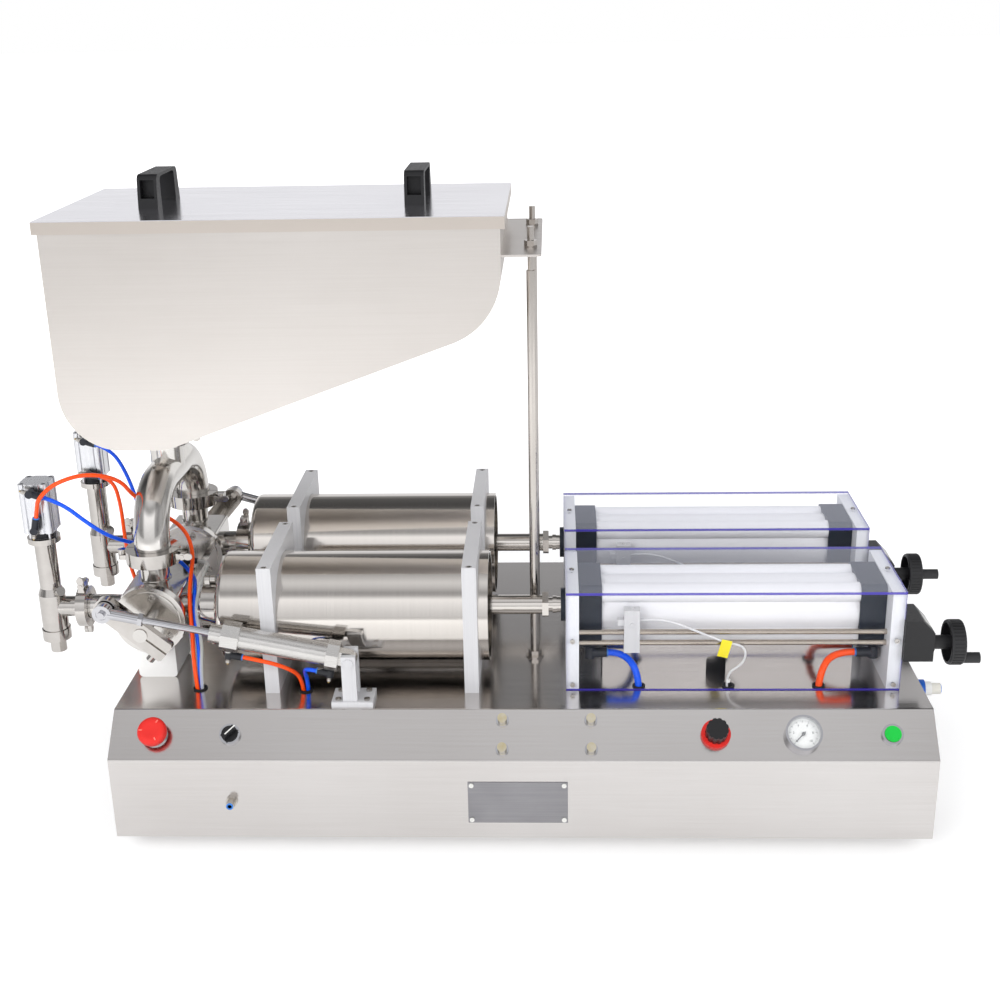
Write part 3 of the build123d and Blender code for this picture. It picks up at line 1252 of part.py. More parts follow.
def clevis_feet():
    """Clevis feet of the swing cylinders, each with its pin."""
    pieces = []
    for name, y, side in UNITS:
        middle = y + side * SWING_FROM_AXIS
        base_x = PIVOT_X + 3
        half_x, half_y = CLEVIS_BASE_LENGTH / 2, CLEVIS_BASE_DEPTH / 2
        foot = block((base_x - half_x, base_x + half_x), (middle - half_y, middle + half_y),
                     (DECK_Z, DECK_Z + CLEVIS_BASE_HEIGHT))
        inner = TONGUE_WIDTH / 2 + 2
        ear_x = (PIVOT_X - CLEVIS_EAR_WIDTH / 2, PIVOT_X + CLEVIS_EAR_WIDTH / 2)
        ear_z = (DECK_Z + CLEVIS_BASE_HEIGHT, PIVOT_Z + CLEVIS_EAR_TOP)
        for edge in (-1, 1):
            ear_y = sorted((middle + edge * inner, middle + edge * (inner + CLEVIS_EAR)))
            foot += block(ear_x, ear_y, ear_z)
        reach = inner + CLEVIS_EAR
        bore = [(2 * reach + 2, CLEVIS_PIN_RADIUS + RUNNING_GAP)]
        foot -= stepped_bar((PIVOT_X, middle - reach - 1, PIVOT_Z), (0, 1, 0), bore)
        for point in clevis_screw_places(y, side):
            foot -= stepped_bar((point[0], point[1], point[2] + 1), (0, 0, -1), [(CLEVIS_BASE_HEIGHT, 2.5 + SEAT_GAP)])
        head_start = (PIVOT_X, middle + side * (reach + 2), PIVOT_Z)
        pin_steps = [(2, CLEVIS_PIN_HEAD), (2 * reach, CLEVIS_PIN_RADIUS), (2, CLEVIS_PIN_HEAD)]
        pieces += [foot, stepped_bar(head_start, (0, -side, 0), pin_steps)]
    return pieces


def nozzle_body(y):
    """A filling nozzle: tip, nut, body, upper tube and flange, bored through."""
    low = DECK_Z + TIP_BOTTOM
    tip = stepped_bar((NOZZLE_X, y, low), (0, 0, 1), [(TIP_LENGTH, TIP_RADIUS), (4, NOZZLE_BORE - 1)])
    nut_z = low + TIP_LENGTH
    body_z = nut_z + NOZZLE_NUT
    cone_z = body_z + NOZZLE_BODY
    tube_z = cone_z + NOZZLE_CONE
    up = (0, 0, 1)
    body = stepped_bar((NOZZLE_X, y, nut_z), up, [(NOZZLE_NUT, NOZZLE_NUT_RADIUS), (NOZZLE_BODY, NOZZLE_BODY_RADIUS)])
    cone = Pos(NOZZLE_X, y, cone_z + NOZZLE_CONE / 2) * Cone(NOZZLE_BODY_RADIUS, NOZZLE_TUBE_RADIUS, NOZZLE_CONE)
    body += cone
    body += stepped_bar((NOZZLE_X, y, tube_z), up, [(NOZZLE_TUBE, NOZZLE_TUBE_RADIUS), (NOZZLE_FLANGE, NOZZLE_FLANGE_RADIUS)])
    joint = NOZZLE_JOINT_X - GASKET / 2
    arm = joint - NOZZLE_X
    steps = [(arm - FERRULE_THICKNESS, NOZZLE_TUBE_RADIUS), (FERRULE_THICKNESS, NOZZLE_FERRULE)]
    body += stepped_bar((NOZZLE_X, y, AXIS_Z), (1, 0, 0), steps)
    plug_way = (0.75, -0.6, 0.35)
    body += stepped_bar((NOZZLE_X, y, cone_z), plug_way, [(NOZZLE_BODY_RADIUS + 3, 6), (6, 7)])
    body -= stepped_bar((NOZZLE_X, y, AXIS_Z), (1, 0, 0), [(arm + 1, NOZZLE_BORE)])
    chamber = NOZZLE_NUT + NOZZLE_BODY - 2
    body -= stepped_bar((NOZZLE_X, y, nut_z), up, [(chamber, NOZZLE_BORE), (200, PLUNGER_ROD + RUNNING_GAP)])
    seat = stepped_bar((NOZZLE_X, y, low - 1), up, [(TIP_LENGTH + 9, TIP_BORE)])
    return [tip - seat, body - tip]


def nozzle_bodies():
    """Both filling nozzles, each a tip in a body."""
    return [piece for name, y, side in UNITS for piece in nozzle_body(y)]


def lift_base():
    """The height of the top face of a nozzle's flange."""
    stack = TIP_LENGTH + NOZZLE_NUT + NOZZLE_BODY + NOZZLE_CONE + NOZZLE_TUBE + NOZZLE_FLANGE
    return DECK_Z + TIP_BOTTOM + stack


def case_grooves(y, low):
    """Two grooves down each side of a square cylinder."""
    grooves = Part()
    depth = SQUARE_CYLINDER / 2 - SENSOR_GROOVE_DEPTH / 2
    middle = low + SQUARE_CYLINDER_HEIGHT / 2
    for turn in (0, 90, 180, 270):
        for offset_x in (-SENSOR_GROOVE, SENSOR_GROOVE):
            groove = Box(SENSOR_GROOVE_WIDTH, SENSOR_GROOVE_DEPTH + 0.02, SQUARE_CYLINDER_HEIGHT + 2)
            grooves += Pos(NOZZLE_X, y, middle) * Rot(0, 0, turn) * Pos(offset_x, depth) * groove
    return grooves


def case_screw_holes(y, low):
    """The sunk screw holes in the four corners of a square cylinder's top."""
    holes = Part()
    top = low + SQUARE_CYLINDER_HEIGHT
    for dx in (-CASE_SCREW, CASE_SCREW):
        for dy in (-CASE_SCREW, CASE_SCREW):
            start = (NOZZLE_X + dx, y + dy, top + 1)
            holes += stepped_bar(start, (0, 0, -1), [(CASE_SCREW_DEPTH + 1, CASE_SCREW_RADIUS)])
    return holes


def nozzle_cylinders():
    """Square air cylinders on the nozzles, each on a black distance ring."""
    pieces = []
    up = (0, 0, 1)
    for name, y, side in UNITS:
        base = lift_base()
        pieces.append(ring((NOZZLE_X, y, base), up, SEAL_RING_RADIUS, PLUNGER_ROD + RUNNING_GAP, SEAL_RING))
        low = base + SEAL_RING
        outline = sheet_rectangle(SQUARE_CYLINDER, SQUARE_CYLINDER, SQUARE_CYLINDER_CORNER)
        case = extrude(Plane(origin=(NOZZLE_X, y, low), z_dir=up) * outline, SQUARE_CYLINDER_HEIGHT)
        case -= case_grooves(y, low)
        case -= case_screw_holes(y, low)
        wall = 8
        steps = [(wall + 1, PLUNGER_ROD + RUNNING_GAP), (SQUARE_CYLINDER_HEIGHT - 2 * wall, LIFT_BORE)]
        pieces.append(case - stepped_bar((NOZZLE_X, y, low - 1), up, steps))
        for dx in (-17, 17):
            start = (NOZZLE_X + dx * 0.8, y - 13, base)
            pieces.append(stepped_bar(start, up, [(SEAL_RING, 2)]))
            pieces.append(stepped_bar((start[0], y + 13, base), up, [(SEAL_RING, 2)]))
    return pieces


def nozzle_plunger(y):
    """The cut-off plunger in a nozzle and the piston that lifts it."""
    low = DECK_Z + TIP_BOTTOM + 2
    lift_z = lift_base() + SEAL_RING + 8 + 2
    plug = stepped_bar((NOZZLE_X, y, low), (0, 0, 1),
                       [(12, TIP_BORE - RUNNING_GAP), (lift_z - low - 12, PLUNGER_ROD)])
    piston = stepped_bar((NOZZLE_X, y, lift_z), (0, 0, 1), [(12, LIFT_BORE - RUNNING_GAP)])
    return [plug, piston]


def clamp_half(radius, lip, width, edge):
    """Half of a pipe clamp round the z axis, grooved for its two ferrules."""
    outer = radius + CLAMP_RIM
    groove = 2 * FERRULE_THICKNESS + GASKET + 2 * SEAT_GAP
    outline = Circle(outer) - Circle(lip)
    band = extrude(outline, width / 2, both=True)
    band -= extrude(Circle(radius + SEAT_GAP), groove / 2, both=True)
    lug_height = width * 0.6
    lug = Pos(outer + LUG_REACH / 2 - 1.5, edge * 4.4) * Box(LUG_REACH + 3, 7.2, lug_height)
    lug -= Pos(outer + LUG_REACH / 2, 0) * Rot(90, 0, 0) * Cylinder(CLAMP_BOLT_RADIUS + BORE_GAP, 40)
    knuckle_x = -(outer + 6.5)
    knuckle_height = width * 0.35
    knuckle = Pos(knuckle_x, 0, edge * width * 0.2) * Cylinder(5.5, knuckle_height)
    knuckle += Pos(knuckle_x + 4.5, edge * 3.2, edge * width * 0.2) * Box(9, 4.6, knuckle_height)
    knuckle -= Pos(knuckle_x, 0) * Cylinder(2.5 + RUNNING_GAP, 2 * width)
    half = band + lug
    keep = Pos(0, edge * (CLAMP_SPLIT / 2 + 100), 0) * Box(400, 200, 4 * width)
    return (half & keep) + knuckle


def pipe_clamp(place, radius, lip, width):
    """One hinged clamp with gasket, pin, bolt and wing nut, put at a place."""
    outer = radius + CLAMP_RIM
    bolt_x = outer + LUG_REACH / 2
    pin = Pos(-(outer + 6.5), 0) * Cylinder(2.5, width * 0.8)
    gasket = extrude(Circle(radius - 1) - Circle(PORT_BORE), GASKET / 2, both=True)
    bolt = Pos(bolt_x, 0, 0) * Rot(90, 0, 0) * Cylinder(CLAMP_BOLT_RADIUS, 30)
    bolt += Pos(bolt_x, 10, 0) * Rot(90, 0, 0) * Cylinder(5, 4)
    hub = Pos(bolt_x, -11, 0) * Rot(90, 0, 0) * Cylinder(5, 6)
    wing_outline = Ellipse(6.5, 5)
    wings = Part()
    for side in (-1, 1):
        wings += Pos(bolt_x + side * 8.5, -13, 0) * Rot(90, 0, 0) * extrude(wing_outline, 1.2, both=True)
    nut = hub + wings - Pos(bolt_x, -11, 0) * Rot(90, 0, 0) * Cylinder(CLAMP_BOLT_RADIUS, 20)
    pieces = [clamp_half(radius, lip, width, 1), clamp_half(radius, lip, width, -1), pin, gasket, bolt, nut]
    return [place * piece for piece in pieces]


def clamp_place(point, axis, lugs):
    """A clamp's place: its axis along a pipe and its lugs to one side."""
    return Plane(origin=point, x_dir=lugs, z_dir=axis).location


def pipe_clamps():
    """The seven clamps that join hopper, manifold, valves, cylinders and nozzles."""
    top = clamp_place((VALVE_X, MIDDLE_Y, OUTLET_JOINT_Z), (0, 0, 1), (1, 0, 0))
    pieces = pipe_clamp(top, CYLINDER_FERRULE, PIPE_RADIUS + 0.6, CLAMP_WIDTH)
    for name, y, side in UNITS:
        elbow = clamp_place((VALVE_X, y, ELBOW_JOINT_Z), (0, 0, 1), (1, 0, 0))
        pieces += pipe_clamp(elbow, ELBOW_FERRULE, PIPE_RADIUS + 0.6, CLAMP_WIDTH)
        neck = clamp_place((CYLINDER_JOINT_X, y, AXIS_Z), (1, 0, 0), (0, 0, side))
        pieces += pipe_clamp(neck, CYLINDER_FERRULE, NECK_RADIUS + 1, CLAMP_WIDTH)
        spout = clamp_place((NOZZLE_JOINT_X, y, AXIS_Z), (-1, 0, 0), (0, 0, 1))
        pieces += pipe_clamp(spout, NOZZLE_FERRULE, NOZZLE_NECK_RADIUS + 1, NOZZLE_CLAMP_WIDTH)
    return pieces


def panel_bezel(x):
    """A round bezel with its threaded neck, open for a button."""
    plane = on_slope(x)
    bezel = turned(plane, [(24, PANEL_HOLE - SEAT_GAP), (BEZEL_HEIGHT, BEZEL_RADIUS)], -24)
    bezel -= turned(plane, [(30, 8)], -25)
    return bezel - turned(plane, [(30, CAP_RADIUS + BORE_GAP)], 0.5)


def control_bezels():
    """Bezels of the three buttons and seats of the four flow knobs."""
    stop_plane = on_slope(STOP_X)
    stop = turned(stop_plane, [(24, PANEL_HOLE - SEAT_GAP), (BEZEL_HEIGHT - 1, BEZEL_RADIUS + 3)], -24)
    stop -= turned(stop_plane, [(60, 8)], -25)
    pieces = [stop, panel_bezel(SELECTOR_X), panel_bezel(START_X)]
    for x, row in flow_places():
        plane = on_slope(x, row)
        seat = turned(plane, [(14, FLOW_NECK), (3, FLOW_SEAT_RADIUS)], -14)
        pieces.append(seat - turned(plane, [(30, 2.5 + BORE_GAP)], -12))
    return pieces


def emergency_stop_head():
    """The red mushroom head with its stem."""
    plane = on_slope(STOP_X)
    under = BEZEL_HEIGHT - 1 + STOP_TRAVEL + FACE_GAP
    head = turned(plane, [(15, STOP_HEAD_RADIUS)], under)
    rim = head.edges().filter_by(GeomType.CIRCLE)
    head = fillet(rim, 3)
    return [head + turned(plane, [(under + 16, 8 - BORE_GAP)], -16)]


def selector_knob():
    """The black selector with its raised bar."""
    plane = on_slope(SELECTOR_X)
    knob = turned(plane, [(BEZEL_HEIGHT + 1, CAP_RADIUS)], 0.5 + FACE_GAP)
    bar = plane * Pos(0, 0, BEZEL_HEIGHT + 6) * Rot(0, 0, -45) * Box(7, 2 * CAP_RADIUS - 1, 11)
    return [knob + bar + turned(plane, [(18, 8 - BORE_GAP)], -17)]


def start_button():
    """The green push button with its stem."""
    plane = on_slope(START_X)
    low = 0.5 + START_TRAVEL + FACE_GAP
    cap = turned(plane, [(BEZEL_HEIGHT + 1.5 - low, CAP_RADIUS)], low)
    return [cap + turned(plane, [(low + 17, 8 - BORE_GAP)], -17)]


def flow_knob(number):
    """One knurled flow knob with its needle stem."""
    x, row = flow_places()[number]
    plane = on_slope(x, row)
    return [turned(plane, [(10, 2.5), (3 + FACE_GAP, 2.5), (10, FLOW_KNOB_RADIUS)], -10)]


def regulator_body():
    """Red panel nut and regulator body behind the panel."""
    plane = on_slope(REGULATOR_X)
    nut = turned(plane, [(18, REGULATOR_NECK), (7, RED_NUT_RADIUS)], -18)
    nut += plane * Pos(0, 0, -35) * Box(36, 36, 34)
    return [nut - turned(plane, [(30, 5 + BORE_GAP)], -14)]


def regulator_knob():
    """The fluted black knob of the regulator and its stem."""
    plane = on_slope(REGULATOR_X)
    outline = Circle(REGULATOR_KNOB_RADIUS)
    for turn in range(12):
        outline -= Rot(0, 0, 30 * turn) * Pos(REGULATOR_KNOB_RADIUS + 1, 0) * Circle(2.2)
    low = 7 + FACE_GAP
    knob = plane * Pos(0, 0, low) * extrude(outline, REGULATOR_KNOB_HEIGHT - low)
    return [knob + turned(plane, [(12 + low, 5)], -12)]


def gauge_body():
    """The pressure gauge's case, with a recessed dial."""
    plane = on_slope(GAUGE_X)
    case = turned(plane, [(30, GAUGE_NECK), (GAUGE_HEIGHT, GAUGE_RADIUS)], -30)
    case -= turned(plane, [(GAUGE_HEIGHT, GAUGE_RADIUS - 3)], 3)
    return [case - turned(plane, [(20, 1 + RUNNING_GAP)], -2)]


def gauge_needle():
    """The pointer of the gauge on its spindle."""
    plane = on_slope(GAUGE_X)
    hub = turned(plane, [(6, 1), (2, 2.5)], -1)
    blade = Pos(NEEDLE_LENGTH / 2 - 2, 0, 6.4) * Box(NEEDLE_LENGTH + 4, 1.4, 0.8)
    return [hub + plane * Rot(0, 0, NEEDLE_REST) * blade]


def gauge_lens():
    """The clear window of the gauge."""
    plane = on_slope(GAUGE_X)
    return [turned(plane, [(1.5, GAUGE_RADIUS - 3 - RUNNING_GAP)], GAUGE_HEIGHT - 2.5)]


def unit_vector(x, z):
    """A direction across the machine, made one long."""
    reach = math.hypot(x, z)
    return (x / reach, 0, z / reach)


def drive_ports(y):
    """Ports under the two caps of a drive, with the way each fitting points."""
    port_y = y - CAP_SIZE / 2 + 9
    port_z = AXIS_Z - CAP_SIZE / 2
    left = (LEFT_CAP_X + LEFT_CAP / 2, port_y, port_z)
    right = (RIGHT_CAP_X - 12, port_y, port_z)
    return (left, (1, 0, 0)), (right, (-1, 0, 0))


def nozzle_ports(name, y):
    """Ports on the front face of a nozzle's cylinder, with the way each fitting points."""
    low = lift_base() + SEAL_RING
    face = y - SQUARE_CYLINDER / 2
    upper = (NOZZLE_X, face, low + SQUARE_CYLINDER_HEIGHT - 10)
    lower = (NOZZLE_X, face, low + 9)
    lower_way = unit_vector(0.22, 0.97) if name == "front" else unit_vector(0.98, -0.2)
    return (upper, unit_vector(0.95, -0.3)), (lower, lower_way)


def push_in_fittings():
    """Air fittings that stay put: drives, nozzles, air inlet and pedal socket."""
    pieces = []
    for name, y, side in UNITS:
        for port, facing in drive_ports(y):
            pieces.append(elbow_fitting(port, (0, 0, -1), facing, DRIVE_TUBE))
        for port, facing in nozzle_ports(name, y):
            pieces.append(elbow_fitting(port, (0, -1, 0), facing, THIN_TUBE))
    pieces.append(elbow_fitting(CLEAR_HOSE_PORT, (0, 0, 1), (1, 0, 0), HOSE_RADIUS))
    inlet = stepped_bar((CABINET_RIGHT - 10, INLET_Y, INLET_Z), (1, 0, 0),
                        [(10, FLOW_NECK), (12, 13), (10, 10), (13, 8)])
    inlet -= stepped_bar((CABINET_RIGHT + 10, INLET_Y, INLET_Z), (1, 0, 0), [(30, 4.1)])
    pedal = stepped_bar((PEDAL_X, CABINET_FRONT + 10, PEDAL_Z), (0, -1, 0),
                        [(10, FLOW_NECK), (4, 8), (PEDAL_LENGTH - 4, 6)])
    pedal -= stepped_bar((PEDAL_X, CABINET_FRONT + 4, PEDAL_Z), (0, -1, 0), [(30, 3.1)])
    return [*pieces, inlet, pedal]


def route_radii(points):
    """The largest arc that the two runs beside each corner allow."""
    radii = []
    for before, corner, after in zip(points, points[1:], points[2:]):
        first = Vector(*corner) - Vector(*before)
        second = Vector(*after) - Vector(*corner)
        turn = math.radians(first.get_angle(second))
        radii.append(0.45 * min(first.length, second.length) / math.tan(turn / 2))
    return radii


def tube(name, points, radius):
    """A tube along straight runs joined by tangent arcs."""
    radii = route_radii(points)
    path = FilletPolyline(*points, radius=radii)
    way = Vector(*points[1]) - Vector(*points[0])
    section = Plane(origin=points[0], z_dir=way) * Circle(radius)
    solid = sweep(section, path=path)
    expected = math.pi * radius ** 2 * path.length
    print(f"{name}: length {path.length:.1f}, tightest arc {min(radii):.1f}, "
          f"volume share {solid.volume / expected:.4f}")
    return solid


def drive_tube_points(y, index):
    """A wide tube from a drive's fitting to its grommet."""
    port, facing = drive_ports(y)[index]
    mouth = elbow_mouth(port, (0, 0, -1), facing, DRIVE_TUBE)
    x = drive_grommets()[0 if index == 0 else 2]
    hole_y = y + DRIVE_GROMMET_OFFSET
    run = 22 if index == 0 else 30
    bend = (mouth[0] + facing[0] * run, mouth[1], mouth[2])
    return [mouth, bend, (x, hole_y, mouth[2] - 17), (x, hole_y, DECK_Z - TUBE_TAIL)]


def nozzle_mouth(name, index, run):
    """Where a nozzle's tube starts and where its first straight run ends."""
    y = FRONT_UNIT_Y if name == "front" else REAR_UNIT_Y
    port, facing = nozzle_ports(name, y)[index]
    mouth = elbow_mouth(port, (0, -1, 0), facing, THIN_TUBE)
    bend = tuple(mouth[i] + run * facing[i] for i in range(3))
    return [mouth, bend]


def front_blue_route():
    """From the front nozzle behind the front pipe, over the neck and down."""
    x, y = NOZZLE_GROMMETS["front"]
    return [
        *nozzle_mouth("front", 0, 25),
        (-572, -118, 432),
        (-552, -88, 400),
        (-520, -55, 376),
        (-478, -40, 352),
        (-444, -66, 330),
        (-437, -98, 326),
        (-433, -130, 300),
        (-424, -154, 262),
        (x, y + 3.7, 226),
        (x, y + 3.7, 192),
    ]


def front_red_route():
    """From the front nozzle up, under the pipe's crown and down."""
    x, y = NOZZLE_GROMMETS["front"]
    return [
        *nozzle_mouth("front", 1, 14),
        (-635, -134, 477),
        (-610, -134, 500),
        (-568, -120, 510),
        (-534, -82, 488),
        (-528, -48, 450),
        (-497, -25, 415),
        (-462, -30, 392),
        (-447, -50, 362),
        (-445, -88, 336),
        (-440, -124, 314),
        (-433, -148, 280),
        (-430, -168, 234),
        (x - 3.2, y - 1.9, 192),
    ]


def rear_blue_route():
    """From the rear nozzle down between the valves."""
    x, y = NOZZLE_GROMMETS["rear"]
    return [
        *nozzle_mouth("rear", 0, 25),
        (-586, 117, 425),
        (-572, 112, 372),
        (-560, 106, 322),
        (-545, 92, 272),
        (-515, 78, 236),
        (-472, 70, 224),
        (x, y + 3.7, 220),
        (x, y + 3.7, 192),
    ]


def rear_red_route():
    """From the rear nozzle straight down and along the deck."""
    x, y = NOZZLE_GROMMETS["rear"]
    return [
        *nozzle_mouth("rear", 1, 20),
        (-601, 112, 378),
        (-599, 106, 322),
        (-594, 104, 268),
        (-576, 94, 228),
        (-532, 76, 214),
        (-470, 60, 216),
        (x, y - 3.7, 216),
        (x, y - 3.7, 191),
    ]


def clear_hose_route():
    """From the bridge between the valves over the neck and down."""
    x, y = NOZZLE_GROMMETS["front"]
    mouth = elbow_mouth(CLEAR_HOSE_PORT, (0, 0, 1), (1, 0, 0), HOSE_RADIUS)
    return [
        (mouth[0] + 2 * SEAT_GAP, mouth[1], mouth[2]),
        (-431, -28, 338),
        (-429.5, -62, 336),
        (-429.5, -100, 330),
        (-429, -138, 306),
        (-418, -156, 266),
        (x + 3.2, y - 1.9, 228),
        (x + 3.2, y - 1.9, 192),
    ]


def linkage_route(y, side, angle, index):
    """From a fitting under a swing cylinder into the grommet beside it."""
    station, facing = linkage_fitting_places()[index]
    start = along_swing(angle, y + side * SWING_FROM_AXIS, station, SWING_CAP_ACROSS / 2)
    way = facing_way(angle, facing)
    mouth = elbow_mouth(start, swing_down(angle), way, THIN_TUBE)
    hole_y = y + side * LINKAGE_GROMMET_OFFSET
    run = 28 if index == 0 else 12
    first = tuple(mouth[i] + run * way[i] for i in range(3))
    if index == 0:
        x = LINKAGE_GROMMET_X - 3.3
        return [mouth, first, (x - 18, hole_y + side * 22, 247), (x, hole_y + side * 2, 222), (x, hole_y, 190)]
    x = LINKAGE_GROMMET_X + 3.3
    return [mouth, first, (x - 1.5, hole_y + side * 14, 238), (x, hole_y, 216), (x, hole_y, 191)]


def sensor_cable_route(y):
    """From the sensor carrier in a loop to its grommet."""
    middle = y + SETTING_OFFSET
    hole_x = drive_grommets()[1]
    hole_y = y + DRIVE_GROMMET_OFFSET
    start_x = LEFT_CAP_X + LEFT_CAP + CARRIER_FROM_CAP + CARRIER_WIDTH + 2 * SEAT_GAP
    return [
        (start_x, middle, 297),
        (start_x + 20, middle - 2, 300),
        (start_x + 48, middle - 7, 297),
        (start_x + 82, hole_y, 284),
        (start_x + 119, hole_y, 268),
        (start_x + 148, hole_y, 262),
        (start_x + 147, hole_y, 236),
        (start_x + 119, hole_y, 218),
        (hole_x, hole_y, 190),
    ]


def tube_nodes():
    """Every air tube, hose and cable."""
    angles = {"front": LEVER_LEFT_ANGLE, "rear": LEVER_RIGHT_ANGLE}
    blue = [tube("front nozzle blue", front_blue_route(), THIN_TUBE),
            tube("rear nozzle blue", rear_blue_route(), THIN_TUBE)]
    red = [tube("front nozzle red", front_red_route(), THIN_TUBE),
           tube("rear nozzle red", rear_red_route(), THIN_TUBE)]
    hoses = []
    cables = []
    for name, y, side in UNITS:
        blue.append(tube(f"{name} drive blue", drive_tube_points(y, 0), DRIVE_TUBE))
        red.append(tube(f"{name} drive red", drive_tube_points(y, 1), DRIVE_TUBE))
        for index in (0, 1):
            route = linkage_route(y, side, angles[name], index)
            hoses.append(tube(f"{name} linkage hose {index + 1}", route, THIN_TUBE))
        cables.append(tube(f"{name} sensor cable", sensor_cable_route(y), CABLE_RADIUS))
    return {
        "blue_air_tubes": blue,
        "red_air_tubes": red,
        "linkage_air_hoses": hoses,
        "sensor_cables": cables,
        "clear_hose": [tube("clear hose", clear_hose_route(), HOSE_RADIUS)],
    }


def main():
    """Build every node and write one file for each."""
    os.makedirs("parts", exist_ok=True)
    nodes = {
        "base_cabinet": base_cabinet(),
        "rubber_feet": rubber_feet(),
        "deck_grommets": deck_grommets(),
        "cylinder_saddles": cylinder_saddles(),
        "socket_screws": socket_screws(),
        "product_cylinders": product_cylinders(),
        "cover_end_plates": cover_end_plates(),
        "clear_covers": clear_covers(),
        "drive_barrels": drive_barrels(),
        "drive_end_caps": drive_end_caps(),
        "drive_support_channels": drive_support_channels(),
        "guide_rods": guide_rods(),
        "stroke_counters": stroke_counters(),
        "hopper_shell": hopper_shell(),
        "hopper_bracket": hopper_bracket(),
        "hopper_support_rods": hopper_support_rods(),
        "inlet_manifold": inlet_manifold(),
        "valve_bodies": valve_bodies(),
        "valve_feet": valve_feet(),
        "pipe_clamps": pipe_clamps(),
        "nozzle_bodies": nozzle_bodies(),
        "nozzle_cylinders": nozzle_cylinders(),
        "clevis_feet": clevis_feet(),
        "push_in_fittings": push_in_fittings(),
        "control_bezels": control_bezels(),
        "regulator_body": regulator_body(),
        "gauge_body": gauge_body(),
        "gauge_lens": gauge_lens(),
        "hopper_lid": hopper_lid(),
        "lid_handles": lid_handles(),
        "emergency_stop_head": emergency_stop_head(),
        "selector_knob": selector_knob(),
        "start_button": start_button(),
        "regulator_knob": regulator_knob(),
        "gauge_needle": gauge_needle(),
    }
    for number in range(4):
        nodes[f"flow_knob_{number + 1}"] = flow_knob(number)
    angles = {"front": LEVER_LEFT_ANGLE, "rear": LEVER_RIGHT_ANGLE}
    grips = {"front": FRONT_GRIP_ANGLE, "rear": REAR_GRIP_ANGLE}
    for name, y, side in UNITS:
        nodes[f"{name}_piston_rod"] = piston_rod(y)
        nodes[f"{name}_valve_rotor"] = valve_rotor(y, side)
        nodes[f"{name}_valve_lever"] = valve_lever(y, side, angles[name])
        nodes[f"{name}_swing_rod"] = swing_rod(y, side, angles[name])
        nodes[f"{name}_swing_barrel"] = swing_barrel(y, side, angles[name])
        nodes[f"{name}_nozzle_plunger"] = nozzle_plunger(y)
        nodes[f"{name}_handwheel"] = handwheel(y, grips[name])
        nodes[f"{name}_sensor_carrier"] = sensor_carrier(y)
    nodes.update(tube_nodes())
    for name, pieces in nodes.items():
        solids = [solid for piece in pieces for solid in piece.solids()]
        export_step(Compound(children=solids), f"parts/{name}.step")


main()
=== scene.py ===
import json
import logging
import math
from dataclasses import dataclass, field
from enum import Enum
from functools import cache
from typing import Iterable, Sequence

